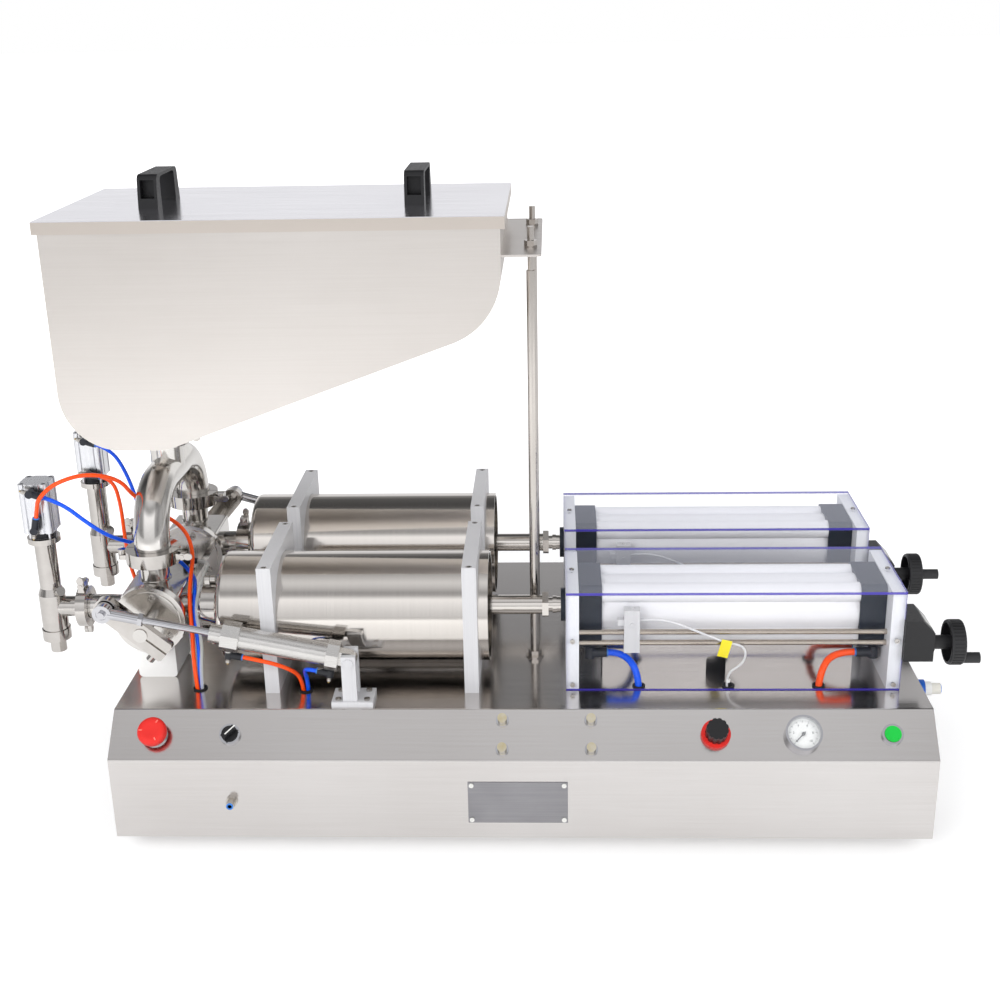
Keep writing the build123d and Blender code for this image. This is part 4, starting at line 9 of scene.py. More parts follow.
import bmesh
import bpy
import numpy as np
from mathutils import Matrix, Vector
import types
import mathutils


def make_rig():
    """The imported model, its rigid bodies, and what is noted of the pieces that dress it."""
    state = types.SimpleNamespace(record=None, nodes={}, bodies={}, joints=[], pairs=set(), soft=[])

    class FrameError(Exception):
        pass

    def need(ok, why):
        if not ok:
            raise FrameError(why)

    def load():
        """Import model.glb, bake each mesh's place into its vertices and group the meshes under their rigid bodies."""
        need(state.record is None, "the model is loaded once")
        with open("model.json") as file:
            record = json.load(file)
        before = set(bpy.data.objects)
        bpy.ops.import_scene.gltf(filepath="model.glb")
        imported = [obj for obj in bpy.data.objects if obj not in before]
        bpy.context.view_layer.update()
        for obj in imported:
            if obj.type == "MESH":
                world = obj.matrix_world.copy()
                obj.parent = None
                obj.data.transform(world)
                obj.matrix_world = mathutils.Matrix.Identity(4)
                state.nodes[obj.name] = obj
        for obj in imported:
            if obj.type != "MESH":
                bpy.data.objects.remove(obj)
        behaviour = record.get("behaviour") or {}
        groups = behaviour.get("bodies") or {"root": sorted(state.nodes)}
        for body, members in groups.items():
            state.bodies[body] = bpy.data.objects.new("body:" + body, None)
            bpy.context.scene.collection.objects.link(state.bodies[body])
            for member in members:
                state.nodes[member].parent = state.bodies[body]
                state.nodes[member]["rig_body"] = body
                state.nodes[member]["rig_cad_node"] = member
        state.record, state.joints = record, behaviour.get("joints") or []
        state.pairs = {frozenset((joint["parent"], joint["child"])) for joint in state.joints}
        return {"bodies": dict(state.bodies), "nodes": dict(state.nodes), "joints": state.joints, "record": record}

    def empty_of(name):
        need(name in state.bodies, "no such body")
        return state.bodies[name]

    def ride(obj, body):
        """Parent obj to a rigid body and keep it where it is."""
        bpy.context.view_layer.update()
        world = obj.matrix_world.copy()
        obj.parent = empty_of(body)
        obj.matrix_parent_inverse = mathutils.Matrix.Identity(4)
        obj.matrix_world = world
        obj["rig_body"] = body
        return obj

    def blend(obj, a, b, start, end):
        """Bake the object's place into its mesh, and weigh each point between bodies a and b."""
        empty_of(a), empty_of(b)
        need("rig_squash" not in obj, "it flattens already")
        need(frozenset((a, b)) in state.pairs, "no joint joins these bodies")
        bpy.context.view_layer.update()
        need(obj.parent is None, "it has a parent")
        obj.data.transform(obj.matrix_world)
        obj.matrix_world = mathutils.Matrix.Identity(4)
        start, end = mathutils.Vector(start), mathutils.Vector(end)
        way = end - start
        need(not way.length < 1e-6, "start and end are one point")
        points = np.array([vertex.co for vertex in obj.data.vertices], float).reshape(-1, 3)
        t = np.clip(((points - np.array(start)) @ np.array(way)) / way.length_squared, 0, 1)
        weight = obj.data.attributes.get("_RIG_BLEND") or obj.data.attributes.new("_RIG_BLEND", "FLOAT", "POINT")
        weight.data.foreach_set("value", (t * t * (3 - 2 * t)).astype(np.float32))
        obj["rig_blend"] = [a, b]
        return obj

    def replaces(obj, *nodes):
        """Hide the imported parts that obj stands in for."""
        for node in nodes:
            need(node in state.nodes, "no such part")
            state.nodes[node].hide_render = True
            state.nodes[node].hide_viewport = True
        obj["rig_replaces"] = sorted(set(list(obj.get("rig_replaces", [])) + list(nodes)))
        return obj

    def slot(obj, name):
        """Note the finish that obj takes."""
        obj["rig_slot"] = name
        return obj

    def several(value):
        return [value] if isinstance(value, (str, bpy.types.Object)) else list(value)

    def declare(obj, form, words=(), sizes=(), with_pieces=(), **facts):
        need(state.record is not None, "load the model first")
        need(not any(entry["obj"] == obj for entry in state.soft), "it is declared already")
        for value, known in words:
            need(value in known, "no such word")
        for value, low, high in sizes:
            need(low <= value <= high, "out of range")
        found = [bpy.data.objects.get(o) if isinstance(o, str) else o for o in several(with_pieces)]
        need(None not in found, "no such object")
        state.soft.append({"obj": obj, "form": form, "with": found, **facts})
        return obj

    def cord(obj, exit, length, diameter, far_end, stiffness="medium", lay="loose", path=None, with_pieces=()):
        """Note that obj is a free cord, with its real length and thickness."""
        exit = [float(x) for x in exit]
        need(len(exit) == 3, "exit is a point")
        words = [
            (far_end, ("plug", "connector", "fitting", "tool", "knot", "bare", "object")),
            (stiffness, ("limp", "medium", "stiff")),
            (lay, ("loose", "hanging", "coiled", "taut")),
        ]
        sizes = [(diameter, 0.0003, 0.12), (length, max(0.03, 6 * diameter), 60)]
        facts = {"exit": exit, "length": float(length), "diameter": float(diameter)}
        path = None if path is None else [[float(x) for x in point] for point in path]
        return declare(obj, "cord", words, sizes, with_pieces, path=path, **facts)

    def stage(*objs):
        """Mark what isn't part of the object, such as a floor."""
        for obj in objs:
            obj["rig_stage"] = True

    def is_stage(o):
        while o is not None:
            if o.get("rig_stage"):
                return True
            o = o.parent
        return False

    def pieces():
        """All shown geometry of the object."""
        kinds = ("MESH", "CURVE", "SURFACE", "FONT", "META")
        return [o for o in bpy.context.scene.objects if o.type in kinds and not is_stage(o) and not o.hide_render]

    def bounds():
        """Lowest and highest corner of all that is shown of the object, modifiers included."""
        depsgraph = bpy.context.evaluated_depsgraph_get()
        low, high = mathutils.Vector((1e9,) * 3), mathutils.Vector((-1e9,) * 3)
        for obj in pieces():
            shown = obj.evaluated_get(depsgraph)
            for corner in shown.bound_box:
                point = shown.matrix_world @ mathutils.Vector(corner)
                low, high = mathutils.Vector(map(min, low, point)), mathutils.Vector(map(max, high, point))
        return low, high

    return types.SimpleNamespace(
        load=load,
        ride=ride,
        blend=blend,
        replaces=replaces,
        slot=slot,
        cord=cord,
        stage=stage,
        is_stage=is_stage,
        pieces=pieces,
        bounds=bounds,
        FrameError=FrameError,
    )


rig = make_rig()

logging.basicConfig(level=logging.INFO, format="%(message)s")
log = logging.getLogger("filling_machine")

Point = tuple[float, float, float]
Colour = tuple[int, int, int]
Spot = Sequence[float]
Stops = tuple[tuple[float, float], ...]
Span = tuple[float, ...]
Seats = list[tuple[Point, Point]]
Mouths = list[tuple[Vector, Vector]]
Piece = bpy.types.Object
Mesh = bpy.types.Mesh
Material = bpy.types.Material
Node = bpy.types.Node
Socket = bpy.types.NodeSocket
Tree = bpy.types.NodeTree
MM = 0.001
SHADER, GEOMETRY = "ShaderNodeTree", "GeometryNodeTree"
NOISE_RANGE = (0.3, 0.7)
FULL_RANGE = (0.0, 1.0)
LEAST_ROUGHNESS = 0.02
RELIEF_DEPTH = 0.0003
MERGE = 1e-6
PARALLEL = 0.99
FACING = 0.9
SHARP_TURNED = 35.0
SHARP_REPEATED = 30.0


def linear(colour: Colour) -> tuple[float, ...]:
    """Turn a colour as seen on a screen, from 0 to 255, into linear light with full cover."""
    parts = [channel / 255 for channel in colour]
    return (*[p / 12.92 if p <= 0.04045 else ((p + 0.055) / 1.055) ** 2.4 for p in parts], 1)


def metres(points: Iterable[Spot]) -> list[Point]:
    """Turn points in millimetres into metres."""
    return [(p[0] * MM, p[1] * MM, p[2] * MM) for p in points]


def numbered(values: Iterable[object], start: int = 0) -> dict[str, object]:
    """Name values as a node's inputs by number, from start on."""
    return {f"_{number}": value for number, value in enumerate(values, start)}


# nodes


class Graph:
    """A node tree with short ways to add and join nodes."""

    def __init__(self, tree: Tree) -> None:
        """Keep the tree that nodes are added to."""
        self.tree = tree

    def fill(self, node: Node, **inputs: object) -> Node:
        """Set or join a node's inputs.

        Args:
            node: The node.
            **inputs: Values or sockets for inputs, by name with _ for a space, or by _N for a number.

        Returns:
            The same node.
        """
        for key, value in inputs.items():
            socket = node.inputs[int(key[1:]) if key[0] == "_" else key.replace("_", " ")]
            if isinstance(value, Socket):
                self.tree.links.new(value, socket)
            else:
                socket.default_value = value
        return node

    def add(self, kind: str, settings: dict[str, object] | None = None, **inputs: object) -> Node:
        """Add a node.

        Args:
            kind: The node's type.
            settings: Options of the node itself.
            **inputs: Its inputs, as fill takes them.

        Returns:
            The new node.
        """
        node = self.tree.nodes.new(kind)
        for key, value in (settings or {}).items():
            setattr(node, key, value)
        return self.fill(node, **inputs)

    def first(self, kind: str, settings: dict[str, object] | None = None, **inputs: object) -> Socket:
        """Add a node, as add does, and give its first result."""
        return self.add(kind, settings, **inputs).outputs[0]

    def math(self, operation: str, *values: object, clamp: bool = False) -> Socket:
        """Add a sum of numbers or sockets; clamp keeps its result from 0 to 1."""
        settings = {"operation": operation, "use_clamp": clamp}
        return self.first("ShaderNodeMath", settings, **numbered(values))

    def vector(self, operation: str, *values: object, **named: object) -> Socket:
        """Add a sum of vectors, given in order or by their inputs' names."""
        node = self.add("ShaderNodeVectorMath", {"operation": operation}, **numbered(values), **named)
        return node.outputs["Value" if operation == "LENGTH" else "Vector"]

    def span(self, value: Socket, *limits: float) -> Socket:
        """Map a number from the first two limits to the other two."""
        return self.first("ShaderNodeMapRange", **numbered((value, *limits)))

    def mix(self, share: Socket, low: object, high: object, numbers: bool = False) -> Socket:
        """Mix two colours or two numbers.

        Args:
            share: How much of the second shows.
            low: The first colour or number.
            high: The second one.
            numbers: Whether they are numbers.

        Returns:
            The mixture.
        """
        kind, place, result = ("FLOAT", 2, 0) if numbers else ("RGBA", 6, 2)
        inputs = numbered((low, high), place)
        return self.add("ShaderNodeMix", {"data_type": kind}, _0=share, **inputs).outputs[result]

    def group(self, tree: Tree, **inputs: object) -> Socket:
        """Place a shared group and give its result."""
        return self.first("ShaderNodeGroup", {"node_tree": tree}, **inputs)

    def end(self, result: Socket, outs: Node) -> Tree:
        """Join the result to the tree's output and give the tree."""
        self.tree.links.new(result, outs.inputs[0])
        return self.tree

    def end_pieces(self, placed: Socket, finish: Socket, outs: Node) -> Tree:
        """Make a tree's instances real, give them their material and end the tree."""
        real = self.first("GeometryNodeRealizeInstances", _0=placed)
        return self.end(self.first("GeometryNodeSetMaterial", Geometry=real, Material=finish), outs)


def new_tree(name: str, kind: str, ins: dict[str, str], out: str) -> tuple[Graph, list[Socket], Node]:
    """Start a node tree.

    Args:
        name: The tree's name.
        kind: The tree's type.
        ins: Input names with the kinds of their sockets.
        out: The output's name and kind, such as Mask:Float.

    Returns:
        The graph, its inputs in order and its output node.
    """
    tree = bpy.data.node_groups.new(name, kind)
    for label, socket in ins.items():
        tree.interface.new_socket(name=label, in_out="INPUT", socket_type=f"NodeSocket{socket}")
    label, socket = out.split(":")
    tree.interface.new_socket(name=label, in_out="OUTPUT", socket_type=f"NodeSocket{socket}")
    graph = Graph(tree)
    return graph, graph.add("NodeGroupInput").outputs[:len(ins)], graph.add("NodeGroupOutput")


@cache
def grain_group() -> Tree:
    """Fine drawn-out lines of a brushed, turned or moulded surface."""
    graph, (place, scale), outs = new_tree(
        "brushed_grain", SHADER, {"Vector": "Vector", "Scale": "Vector"}, "Grain:Float")
    placed = graph.vector("MULTIPLY", place, scale)
    grain = graph.first("ShaderNodeTexNoise", Vector=placed, Scale=1.0, Detail=3.0, Roughness=0.65)
    return graph.end(grain, outs)


@cache
def tone_group() -> Tree:
    """Slow clouding of a colour, with the grain's lines laid over it."""
    graph, (place, scale, grain, light, dark, share), outs = new_tree("surface_tone", SHADER, {
        "Vector": "Vector", "Cloud Scale": "Float", "Grain": "Float", "Light": "Color", "Dark": "Color",
        "Grain Share": "Float"}, "Color:Color")
    cloud = graph.first("ShaderNodeTexNoise", Vector=place, Scale=scale, Detail=4.0)
    wide = graph.span(graph.mix(share, cloud, grain, True), *NOISE_RANGE, *FULL_RANGE)
    return graph.end(graph.mix(wide, dark, light), outs)


@cache
def band_group() -> Tree:
    """A mask that is 1 between two limits and fades out over a soft width."""
    graph, (value, low, high, soft), outs = new_tree(
        "soft_band", SHADER, dict.fromkeys(("Value", "Low", "High", "Soft"), "Float"), "Mask:Float")
    least = graph.math("MINIMUM", graph.math("SUBTRACT", value, low), graph.math("SUBTRACT", high, value))
    return graph.end(graph.math("ADD", graph.math("DIVIDE", least, soft), 0.5, clamp=True), outs)


# finishes


def new_material(name: str) -> tuple[Material, Graph, Node, Socket]:
    """Start a material.

    Args:
        name: Its name.

    Returns:
        The material, its graph, its shader and the object's coordinates.
    """
    material = bpy.data.materials.new(name)
    material.use_nodes = True
    graph = Graph(material.node_tree)
    place = graph.add("ShaderNodeTexCoord").outputs["Object"]
    return material, graph, graph.tree.nodes["Principled BSDF"], place


class Grain(Enum):
    """How a surface's fine lines run, as the pattern's scale along X, Y and Z."""

    ALONG_X = (6.0, 420.0, 420.0)
    ALONG_Z = (420.0, 420.0, 6.0)
    ROUND_X = (900.0, 8.0, 8.0)
    ROUND_Y = (8.0, 900.0, 8.0)
    CAST = (320.0, 320.0, 320.0)
    SMOOTH = (60.0, 60.0, 60.0)


ALONG_X, ALONG_Z, ROUND_X, ROUND_Y, CAST, SMOOTH = Grain


@dataclass(frozen=True)
class Patch:
    """Another finish inside a box, in millimetres, of a material's pieces."""

    low: Point
    high: Point
    colour: Colour
    roughness: float
    metal: bool = False
    soft: float = 0.0004

    def mask(self, graph: Graph, axes: Iterable[Socket]) -> Socket:
        """Make the patch's mask from the object's coordinates."""
        x, y, z = (graph.group(band_group(), Value=axis, Low=low * MM, High=high * MM, Soft=self.soft)
                   for axis, low, high in zip(axes, self.low, self.high))
        return graph.math("MULTIPLY", graph.math("MULTIPLY", x, y), z)


@dataclass(frozen=True)
class Finish:
    """A solid finish: colour, fine grain, clouding, roughness and relief."""

    name: str
    light: Colour
    dark: Colour
    roughness: float
    grain: Grain = SMOOTH
    spread: float = 0.05
    cloud: float = 12.0
    grain_share: float = 0.4
    bump: float = 0.06
    patches: tuple[Patch, ...] = ()
    metal: bool = False

    def build(self) -> Material:
        """Make the material."""
        material, graph, shader, place = new_material(self.name)
        lines = graph.group(grain_group(), Vector=place, Scale=self.grain.value)
        colour = graph.group(tone_group(), Vector=place, Cloud_Scale=self.cloud, Grain=lines,
                             Light=linear(self.light), Dark=linear(self.dark), Grain_Share=self.grain_share)
        least = max(self.roughness - self.spread, LEAST_ROUGHNESS)
        roughness = graph.span(lines, *NOISE_RANGE, least, self.roughness + self.spread)
        metallic: object = float(self.metal)
        axes = graph.add("ShaderNodeSeparateXYZ", Vector=place).outputs if self.patches else ()
        for patch in self.patches:
            mask = patch.mask(graph, axes)
            colour = graph.mix(mask, colour, linear(patch.colour))
            roughness = graph.mix(mask, roughness, patch.roughness, True)
            if patch.metal != self.metal:
                metallic = graph.mix(mask, metallic, float(patch.metal), True)
        relief = graph.first("ShaderNodeBump", Strength=self.bump, Distance=RELIEF_DEPTH, Height=lines)
        graph.fill(shader, Base_Color=colour, Roughness=roughness, Normal=relief, Metallic=metallic)
        material.diffuse_color = linear(self.light)
        return material


@dataclass(frozen=True)
class ClearFinish:
    """A clear finish: tint, how much shows, and how much more where it is seen flatly."""

    name: str
    colour: Colour
    alpha: float
    roughness: float = 0.03
    sheen: float = 0.35
    spread: float = 0.05
    power: float = 3.0

    def build(self) -> Material:
        """Make the material."""
        material, graph, shader, place = new_material(self.name)
        smear = graph.group(grain_group(), Vector=place, Scale=(9.0, 9.0, 9.0))
        rough = graph.span(smear, *NOISE_RANGE, self.roughness, self.roughness + self.spread)
        facing = graph.add("ShaderNodeLayerWeight", Blend=0.5).outputs["Facing"]
        edge = graph.math("POWER", facing, self.power)
        alpha = graph.math("MULTIPLY_ADD", edge, self.sheen, self.alpha, clamp=True)
        graph.fill(shader, Base_Color=linear(self.colour), Roughness=rough, Alpha=alpha, IOR=1.45)
        return material


RUBBER_BLACK = (26, 28, 33)
NOZZLE_RINGS = tuple(
    Patch((-650 - along, y - across, 407), (-650 + along, y + across, 417), RUBBER_BLACK, 0.5)
    for y in (-93.5, 148.5) for along, across in ((11.4, 16.2), (16.2, 10.9)))
SWING_ELBOWS = tuple(Patch(low, high, RUBBER_BLACK, 0.4) for low, high in (
    ((-380, -213, 255), (-348, -196, 276)), ((-250, -213, 233), (-222, -196, 249.5)),
    ((-380, 251, 268), (-347, 268, 289)), ((-252, 251, 235), (-223, 268, 251.5))))
FITTING_PATCHES = (
    Patch((599.5, -300, 0), (611.5, 300, 300), (28, 96, 196), 0.35),
    Patch((611.5, -300, 0), (621.5, 300, 300), (232, 232, 230), 0.45),
    Patch((621.5, -300, 0), (700, 300, 300), (222, 220, 212), 0.35),
    Patch((-380, -330, 70), (-345, -283.1, 102), (200, 195, 188), 0.22, True),
)
# Painted shade: the lid's upright skirt, below 859 mm, is coloured a darker, warmer grey than the bright lid top, for
# the light that falls less on it.
LID_SKIRT_PAINTED_SHADE = (Patch((-1000, -1000, 500), (1000, 1000, 859), (224, 215, 206), 0.30, True),)
WHEEL_SHAFTS = (Patch((-1000, -1000, -1000), (612.6, 1000, 1000), (196, 186, 174), 0.22, True),)

# name, light and dark colour, roughness, grain, spread, cloud scale, the grain's share, relief, patches
METALS = (
    ("hopper_steel", (232, 227, 222), (222, 216, 210), 0.34, ALONG_X, 0.06, 2.5, 0.35, 0.08),
    # the lid's skirt patch is painted shade
    ("lid_steel", (250, 249, 253), (240, 239, 244), 0.20, ALONG_X, 0.06, 2.5, 0.35, 0.08, LID_SKIRT_PAINTED_SHADE),
    ("cabinet_steel", (220, 217, 215), (207, 203, 200), 0.17, ALONG_X, 0.04, 3.0, 0.40, 0.05),
    ("turned_steel", (224, 219, 213), (214, 209, 203), 0.11, ROUND_X, 0.04, 6.0, 0.5, 0.05),
    ("polished_steel", (208, 204, 200), (186, 182, 177), 0.10, SMOOTH, 0.05, 8.0, 0.4, 0.03),
    ("manifold_steel", (232, 229, 225), (218, 215, 210), 0.15, SMOOTH, 0.05, 8.0, 0.4, 0.03),
    ("valve_steel", (222, 219, 215), (200, 197, 193), 0.17, ROUND_Y, 0.06, 8.0, 0.6, 0.08),
    ("rod_steel", (208, 203, 197), (190, 184, 178), 0.16, ALONG_Z, 0.06, 8.0, 0.4, 0.04),
    ("chrome", (204, 204, 207), (186, 186, 190), 0.07, SMOOTH, 0.03, 8.0, 0.3, 0.02),
    ("dark_steel", (96, 95, 97), (66, 65, 68), 0.38, CAST, 0.08, 20.0, 0.5, 0.08),
    ("nozzle_aluminium", (232, 233, 236), (214, 215, 219), 0.28, ALONG_Z, 0.07, 6.0, 0.5, 0.08, NOZZLE_RINGS),
    ("swing_aluminium", (228, 226, 223), (208, 206, 203), 0.26, ALONG_X, 0.08, 9.0, 0.5, 0.10, SWING_ELBOWS),
    ("brass", (198, 170, 108), (170, 142, 84), 0.22, SMOOTH, 0.06, 20.0, 0.5),
    ("nickel_brass", (234, 228, 212), (216, 202, 160), 0.14, SMOOTH, 0.06, 90.0, 0.5),
    ("nickel", (202, 198, 192), (180, 175, 168), 0.20, SMOOTH, 0.06, 20.0, 0.5),
    ("screw_steel", (206, 203, 199), (180, 176, 171), 0.24, CAST, 0.07, 30.0, 0.5, 0.08),
    ("slide_steel", (206, 196, 184), (178, 168, 156), 0.20, ALONG_X, 0.06, 9.0, 0.5, 0.05),
    ("plate_grey", (166, 165, 168), (138, 137, 141), 0.40, ALONG_X, 0.08, 12.0, 0.5, 0.12),
    ("window_pale", (206, 206, 202), (178, 178, 176), 0.25, SMOOTH, 0.05, 20.0, 0.4, 0.05),
)
OTHERS = (
    ("silver_plate", (230, 231, 235), (216, 218, 223), 0.42, CAST, 0.06, 6.0, 0.4, 0.08),
    ("white_barrel", (236, 236, 239), (226, 226, 230), 0.45, ALONG_X, 0.06, 5.0, 0.4, 0.05),
    ("navy_paint", (26, 36, 50), (15, 22, 34), 0.42, CAST, 0.08, 12.0, 0.6, 0.25),
    ("black_rubber", (36, 36, 37), (24, 24, 25), 0.75, CAST, 0.10, 20.0, 0.6, 0.30),
    ("black_plastic", (28, 28, 30), (17, 17, 19), 0.42, CAST, 0.08, 14.0, 0.6, 0.28),
    ("white_plastic", (250, 250, 248), (240, 240, 238), 0.45, SMOOTH, 0.06, 8.0, 0.4, 0.10),
    ("red_plastic", (226, 42, 34), (208, 32, 26), 0.45),
    ("green_plastic", (0, 190, 62), (0, 168, 50), 0.30, SMOOTH, 0.05, 12.0, 0.4, 0.05),
    ("pale_ring", (226, 226, 222), (210, 210, 206), 0.30, SMOOTH, 0.05, 12.0, 0.4, 0.05),
    ("stop_mark", (250, 132, 120), (240, 110, 98), 0.45, SMOOTH, 0.05, 12.0, 0.4, 0.04),
    ("milled_aluminium", (208, 208, 210), (194, 194, 197), 0.40, ALONG_Z, 0.08, 6.0, 0.6, 0.12),
    ("wheel_plastic", (42, 42, 44), (28, 28, 30), 0.42, CAST, 0.08, 14.0, 0.6, 0.22, WHEEL_SHAFTS),
    ("fitting_black", (30, 34, 44), (20, 23, 31), 0.35, SMOOTH, 0.06, 20.0, 0.5, 0.10, FITTING_PATCHES),
    ("release_ring", (60, 130, 215), (45, 112, 198), 0.35, SMOOTH, 0.05, 20.0, 0.4, 0.05),
    ("blue_tube", (0, 92, 244), (0, 76, 224), 0.20, SMOOTH, 0.05, 15.0, 0.4, 0.04),
    ("red_tube", (255, 86, 10), (248, 72, 6), 0.20, SMOOTH, 0.05, 15.0, 0.4, 0.04),
    ("grey_cable", (222, 222, 224), (204, 204, 207), 0.45, SMOOTH, 0.06, 20.0, 0.5, 0.08),
    ("yellow_tag", (244, 228, 40), (232, 214, 26), 0.40, SMOOTH, 0.05, 20.0),
    ("dial_white", (246, 246, 244), (240, 240, 238), 0.50, SMOOTH, 0.04, 20.0, 0.3, 0.02),
    ("dial_ink", (34, 34, 38), (24, 24, 28), 0.55, SMOOTH, 0.04, 20.0, 0.3, 0.02),
)
# name, tint, cover, roughness, more cover at the edges
CLEAR = (
    ("clear_sheet", (226, 230, 246), 0.006, 0.02, 0.45),
    ("sheet_edge", (66, 54, 170), 0.85, 0.15, 0.1),
    ("clear_lens", (240, 244, 246), 0.12),
    ("clear_hose", (226, 230, 226), 0.35, 0.10),
)
FINISHES: dict[str, Finish | ClearFinish] = {row[0]: Finish(*row, metal=True) for row in METALS}
FINISHES |= {row[0]: Finish(*row) for row in OTHERS}
FINISHES |= {row[0]: ClearFinish(*row) for row in CLEAR}


@cache
def dressing(name: str) -> Material:
    """Build a finish's material once and hand it out."""
    return FINISHES[name].build()


# pieces


def link(name: str, data: bpy.types.ID) -> Piece:
    """Put a mesh, curve, lamp or camera into the scene."""
    piece = bpy.data.objects.new(name, data)
    bpy.context.scene.collection.objects.link(piece)
    return piece


def evaluated(piece: Piece) -> Mesh:
    """Give the plain mesh of an object with its modifiers or its thickness."""
    bpy.context.view_layer.update()
    return bpy.data.meshes.new_from_object(piece.evaluated_get(bpy.context.evaluated_depsgraph_get()))


def add_piece(name: str, mesh: Mesh, finish: str, smooth: float | None = SHARP_TURNED) -> Piece:
    """Put a finished mesh into the scene.

    Args:
        name: The piece's name.
        mesh: Its mesh, in place.
        finish: The finish to dress it with.
        smooth: The angle in degrees above which an edge stays sharp, or None for flat faces.

    Returns:
        The new piece.
    """
    mesh.materials.clear()
    mesh.materials.append(dressing(finish))
    if smooth is not None:
        mesh.shade_smooth()
        mesh.set_sharp_from_angle(angle=math.radians(smooth))
    return link(name, mesh)


def declare(piece: Piece, slot: str, body: str = "machine", node: str | None = None) -> None:
    """Args:
        piece: The piece.
        slot: The record's material slot that it takes its finish from.
        body: The body that it moves with.
        node: The CAD node that it stands for, if any.
    """
    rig.slot(piece, slot)
    if node is not None:
        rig.replaces(piece, node)
    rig.ride(piece, body)


def mesh_from(work: bmesh.types.BMesh, name: str) -> Mesh:
    """Close a bmesh into a mesh with its faces outwards.

    Args:
        work: The bmesh, which is freed.
        name: The mesh's name.

    Returns:
        The new mesh.
    """
    bmesh.ops.remove_doubles(work, verts=work.verts, dist=MERGE)
    bmesh.ops.recalc_face_normals(work, faces=work.faces)
    mesh = bpy.data.meshes.new(name)
    work.to_mesh(mesh)
    work.free()
    return mesh


def moved(x: float, y: float, z: float) -> Matrix:
    """Give a shift in millimetres as a matrix."""
    return Matrix.Translation((x * MM, y * MM, z * MM))


def place_at(origin: Spot, axis: Spot, up: Spot = (0, 0, 1)) -> Matrix:
    """A place whose local Z lies along an axis.

    Args:
        origin: The place, in millimetres.
        axis: The direction of local Z.
        up: The direction that local Y leans to.

    Returns:
        The matrix, in metres.
    """
    z, guide = Vector(axis).normalized(), Vector(up)
    if abs(z.dot(guide.normalized())) > PARALLEL:
        guide = Vector((0, 1, 0))
    x = guide.cross(z).normalized()
    return moved(*origin) @ Matrix((x, z.cross(x), z)).transposed().to_4x4()


def lathe(name: str, profile: Iterable[Spot], place: Matrix, finish: str, segments: int = 48) -> Piece:
    """Turn a profile round local Z.

    Args:
        name: The piece's name.
        profile: Pairs of height and radius in millimetres, from one pole or rim to the other.
        place: Where it stands.
        finish: Its finish.
        segments: Faces round it.

    Returns:
        The new piece.
    """
    work = bmesh.new()
    circle = [2 * math.pi * step / segments for step in range(segments)]
    rings = []
    for height, radius in profile:
        reach = radius * MM
        rings.append([work.verts.new((reach * math.cos(turn), reach * math.sin(turn), height * MM))
                      for turn in (circle if radius else [0.0])])
    for low, high in zip(rings, rings[1:]):
        for step in range(segments):
            pair = (step, (step + 1) % segments)
            corners = [low[at % len(low)] for at in pair] + [high[at % len(high)] for at in reversed(pair)]
            unique = list(dict.fromkeys(corners))
            if len(unique) > 2:
                work.faces.new(unique)
    work.transform(place)
    return add_piece(name, mesh_from(work, name), finish)


def rounded_box(name: str, size: Spot, place: Matrix, finish: str, bevel: float) -> Piece:
    """A box with bevelled edges, centred on a place.

    Args:
        name: The piece's name.
        size: Its size in millimetres.
        place: Where it stands.
        finish: Its finish.
        bevel: The bevel's width in millimetres.

    Returns:
        The new piece.
    """
    work = bmesh.new()
    bmesh.ops.create_cube(work, size=1.0)
    bmesh.ops.scale(work, vec=metres([size])[0], verts=work.verts)
    bmesh.ops.bevel(work, geom=list(work.edges), offset=bevel * MM, segments=2, affect="EDGES", profile=0.7)
    work.transform(place)
    return add_piece(name, mesh_from(work, name), finish)


# Geometry Nodes


@cache
def ring_tree() -> Tree:
    """Bars set round an arc, each turned to face outwards."""
    graph, (_, count, radius, start, step, bar, finish), outs = new_tree("ring_of_bars", GEOMETRY, {
        "Geometry": "Geometry", "Count": "Int", "Radius": "Float", "Start": "Float", "Step": "Float",
        "Bar": "Vector", "Finish": "Material"}, "Geometry:Geometry")
    turn = graph.math("MULTIPLY_ADD", graph.first("GeometryNodeInputIndex"), step, start)
    way = graph.first("ShaderNodeCombineXYZ", X=graph.math("COSINE", turn), Y=graph.math("SINE", turn))
    points = graph.first("GeometryNodePoints", Count=count, Position=graph.vector("SCALE", way, Scale=radius))
    spin = graph.first("FunctionNodeEulerToRotation", _0=graph.first("ShaderNodeCombineXYZ", Z=turn))
    cube = graph.first("GeometryNodeMeshCube", Size=bar)
    placed = graph.first("GeometryNodeInstanceOnPoints", Points=points, Instance=cube, Rotation=spin)
    return graph.end_pieces(placed, finish, outs)


@cache
def screw_tree() -> Tree:
    """Screw heads with a hexagon socket, standing on points that hold their facing."""
    graph, (seats, radius, height, hexagon, finish), outs = new_tree("socket_head_screws", GEOMETRY, {
        "Geometry": "Geometry", "Head Radius": "Float", "Head Height": "Float", "Socket Radius": "Float",
        "Finish": "Material"}, "Geometry:Geometry")
    head = graph.first("GeometryNodeMeshCylinder", Vertices=24, Radius=radius, Depth=height)
    tool = graph.first("GeometryNodeMeshCylinder", Vertices=6, Radius=hexagon, Depth=height)
    up = graph.first("ShaderNodeCombineXYZ", Z=graph.math("MULTIPLY", height, 0.5))
    raised = graph.first("GeometryNodeTransform", Geometry=tool, Translation=up)
    cut = graph.first("GeometryNodeMeshBoolean", {"operation": "DIFFERENCE"}, _0=head, _1=raised)
    seated = graph.first("GeometryNodeTransform", Geometry=cut, Translation=up)
    facing = graph.first("GeometryNodeInputNamedAttribute", {"data_type": "FLOAT_VECTOR"}, Name="facing")
    spin = graph.first("FunctionNodeAlignRotationToVector", {"axis": "Z"}, Vector=facing)
    placed = graph.first("GeometryNodeInstanceOnPoints", Points=seats, Instance=seated, Rotation=spin)
    return graph.end_pieces(placed, finish, outs)


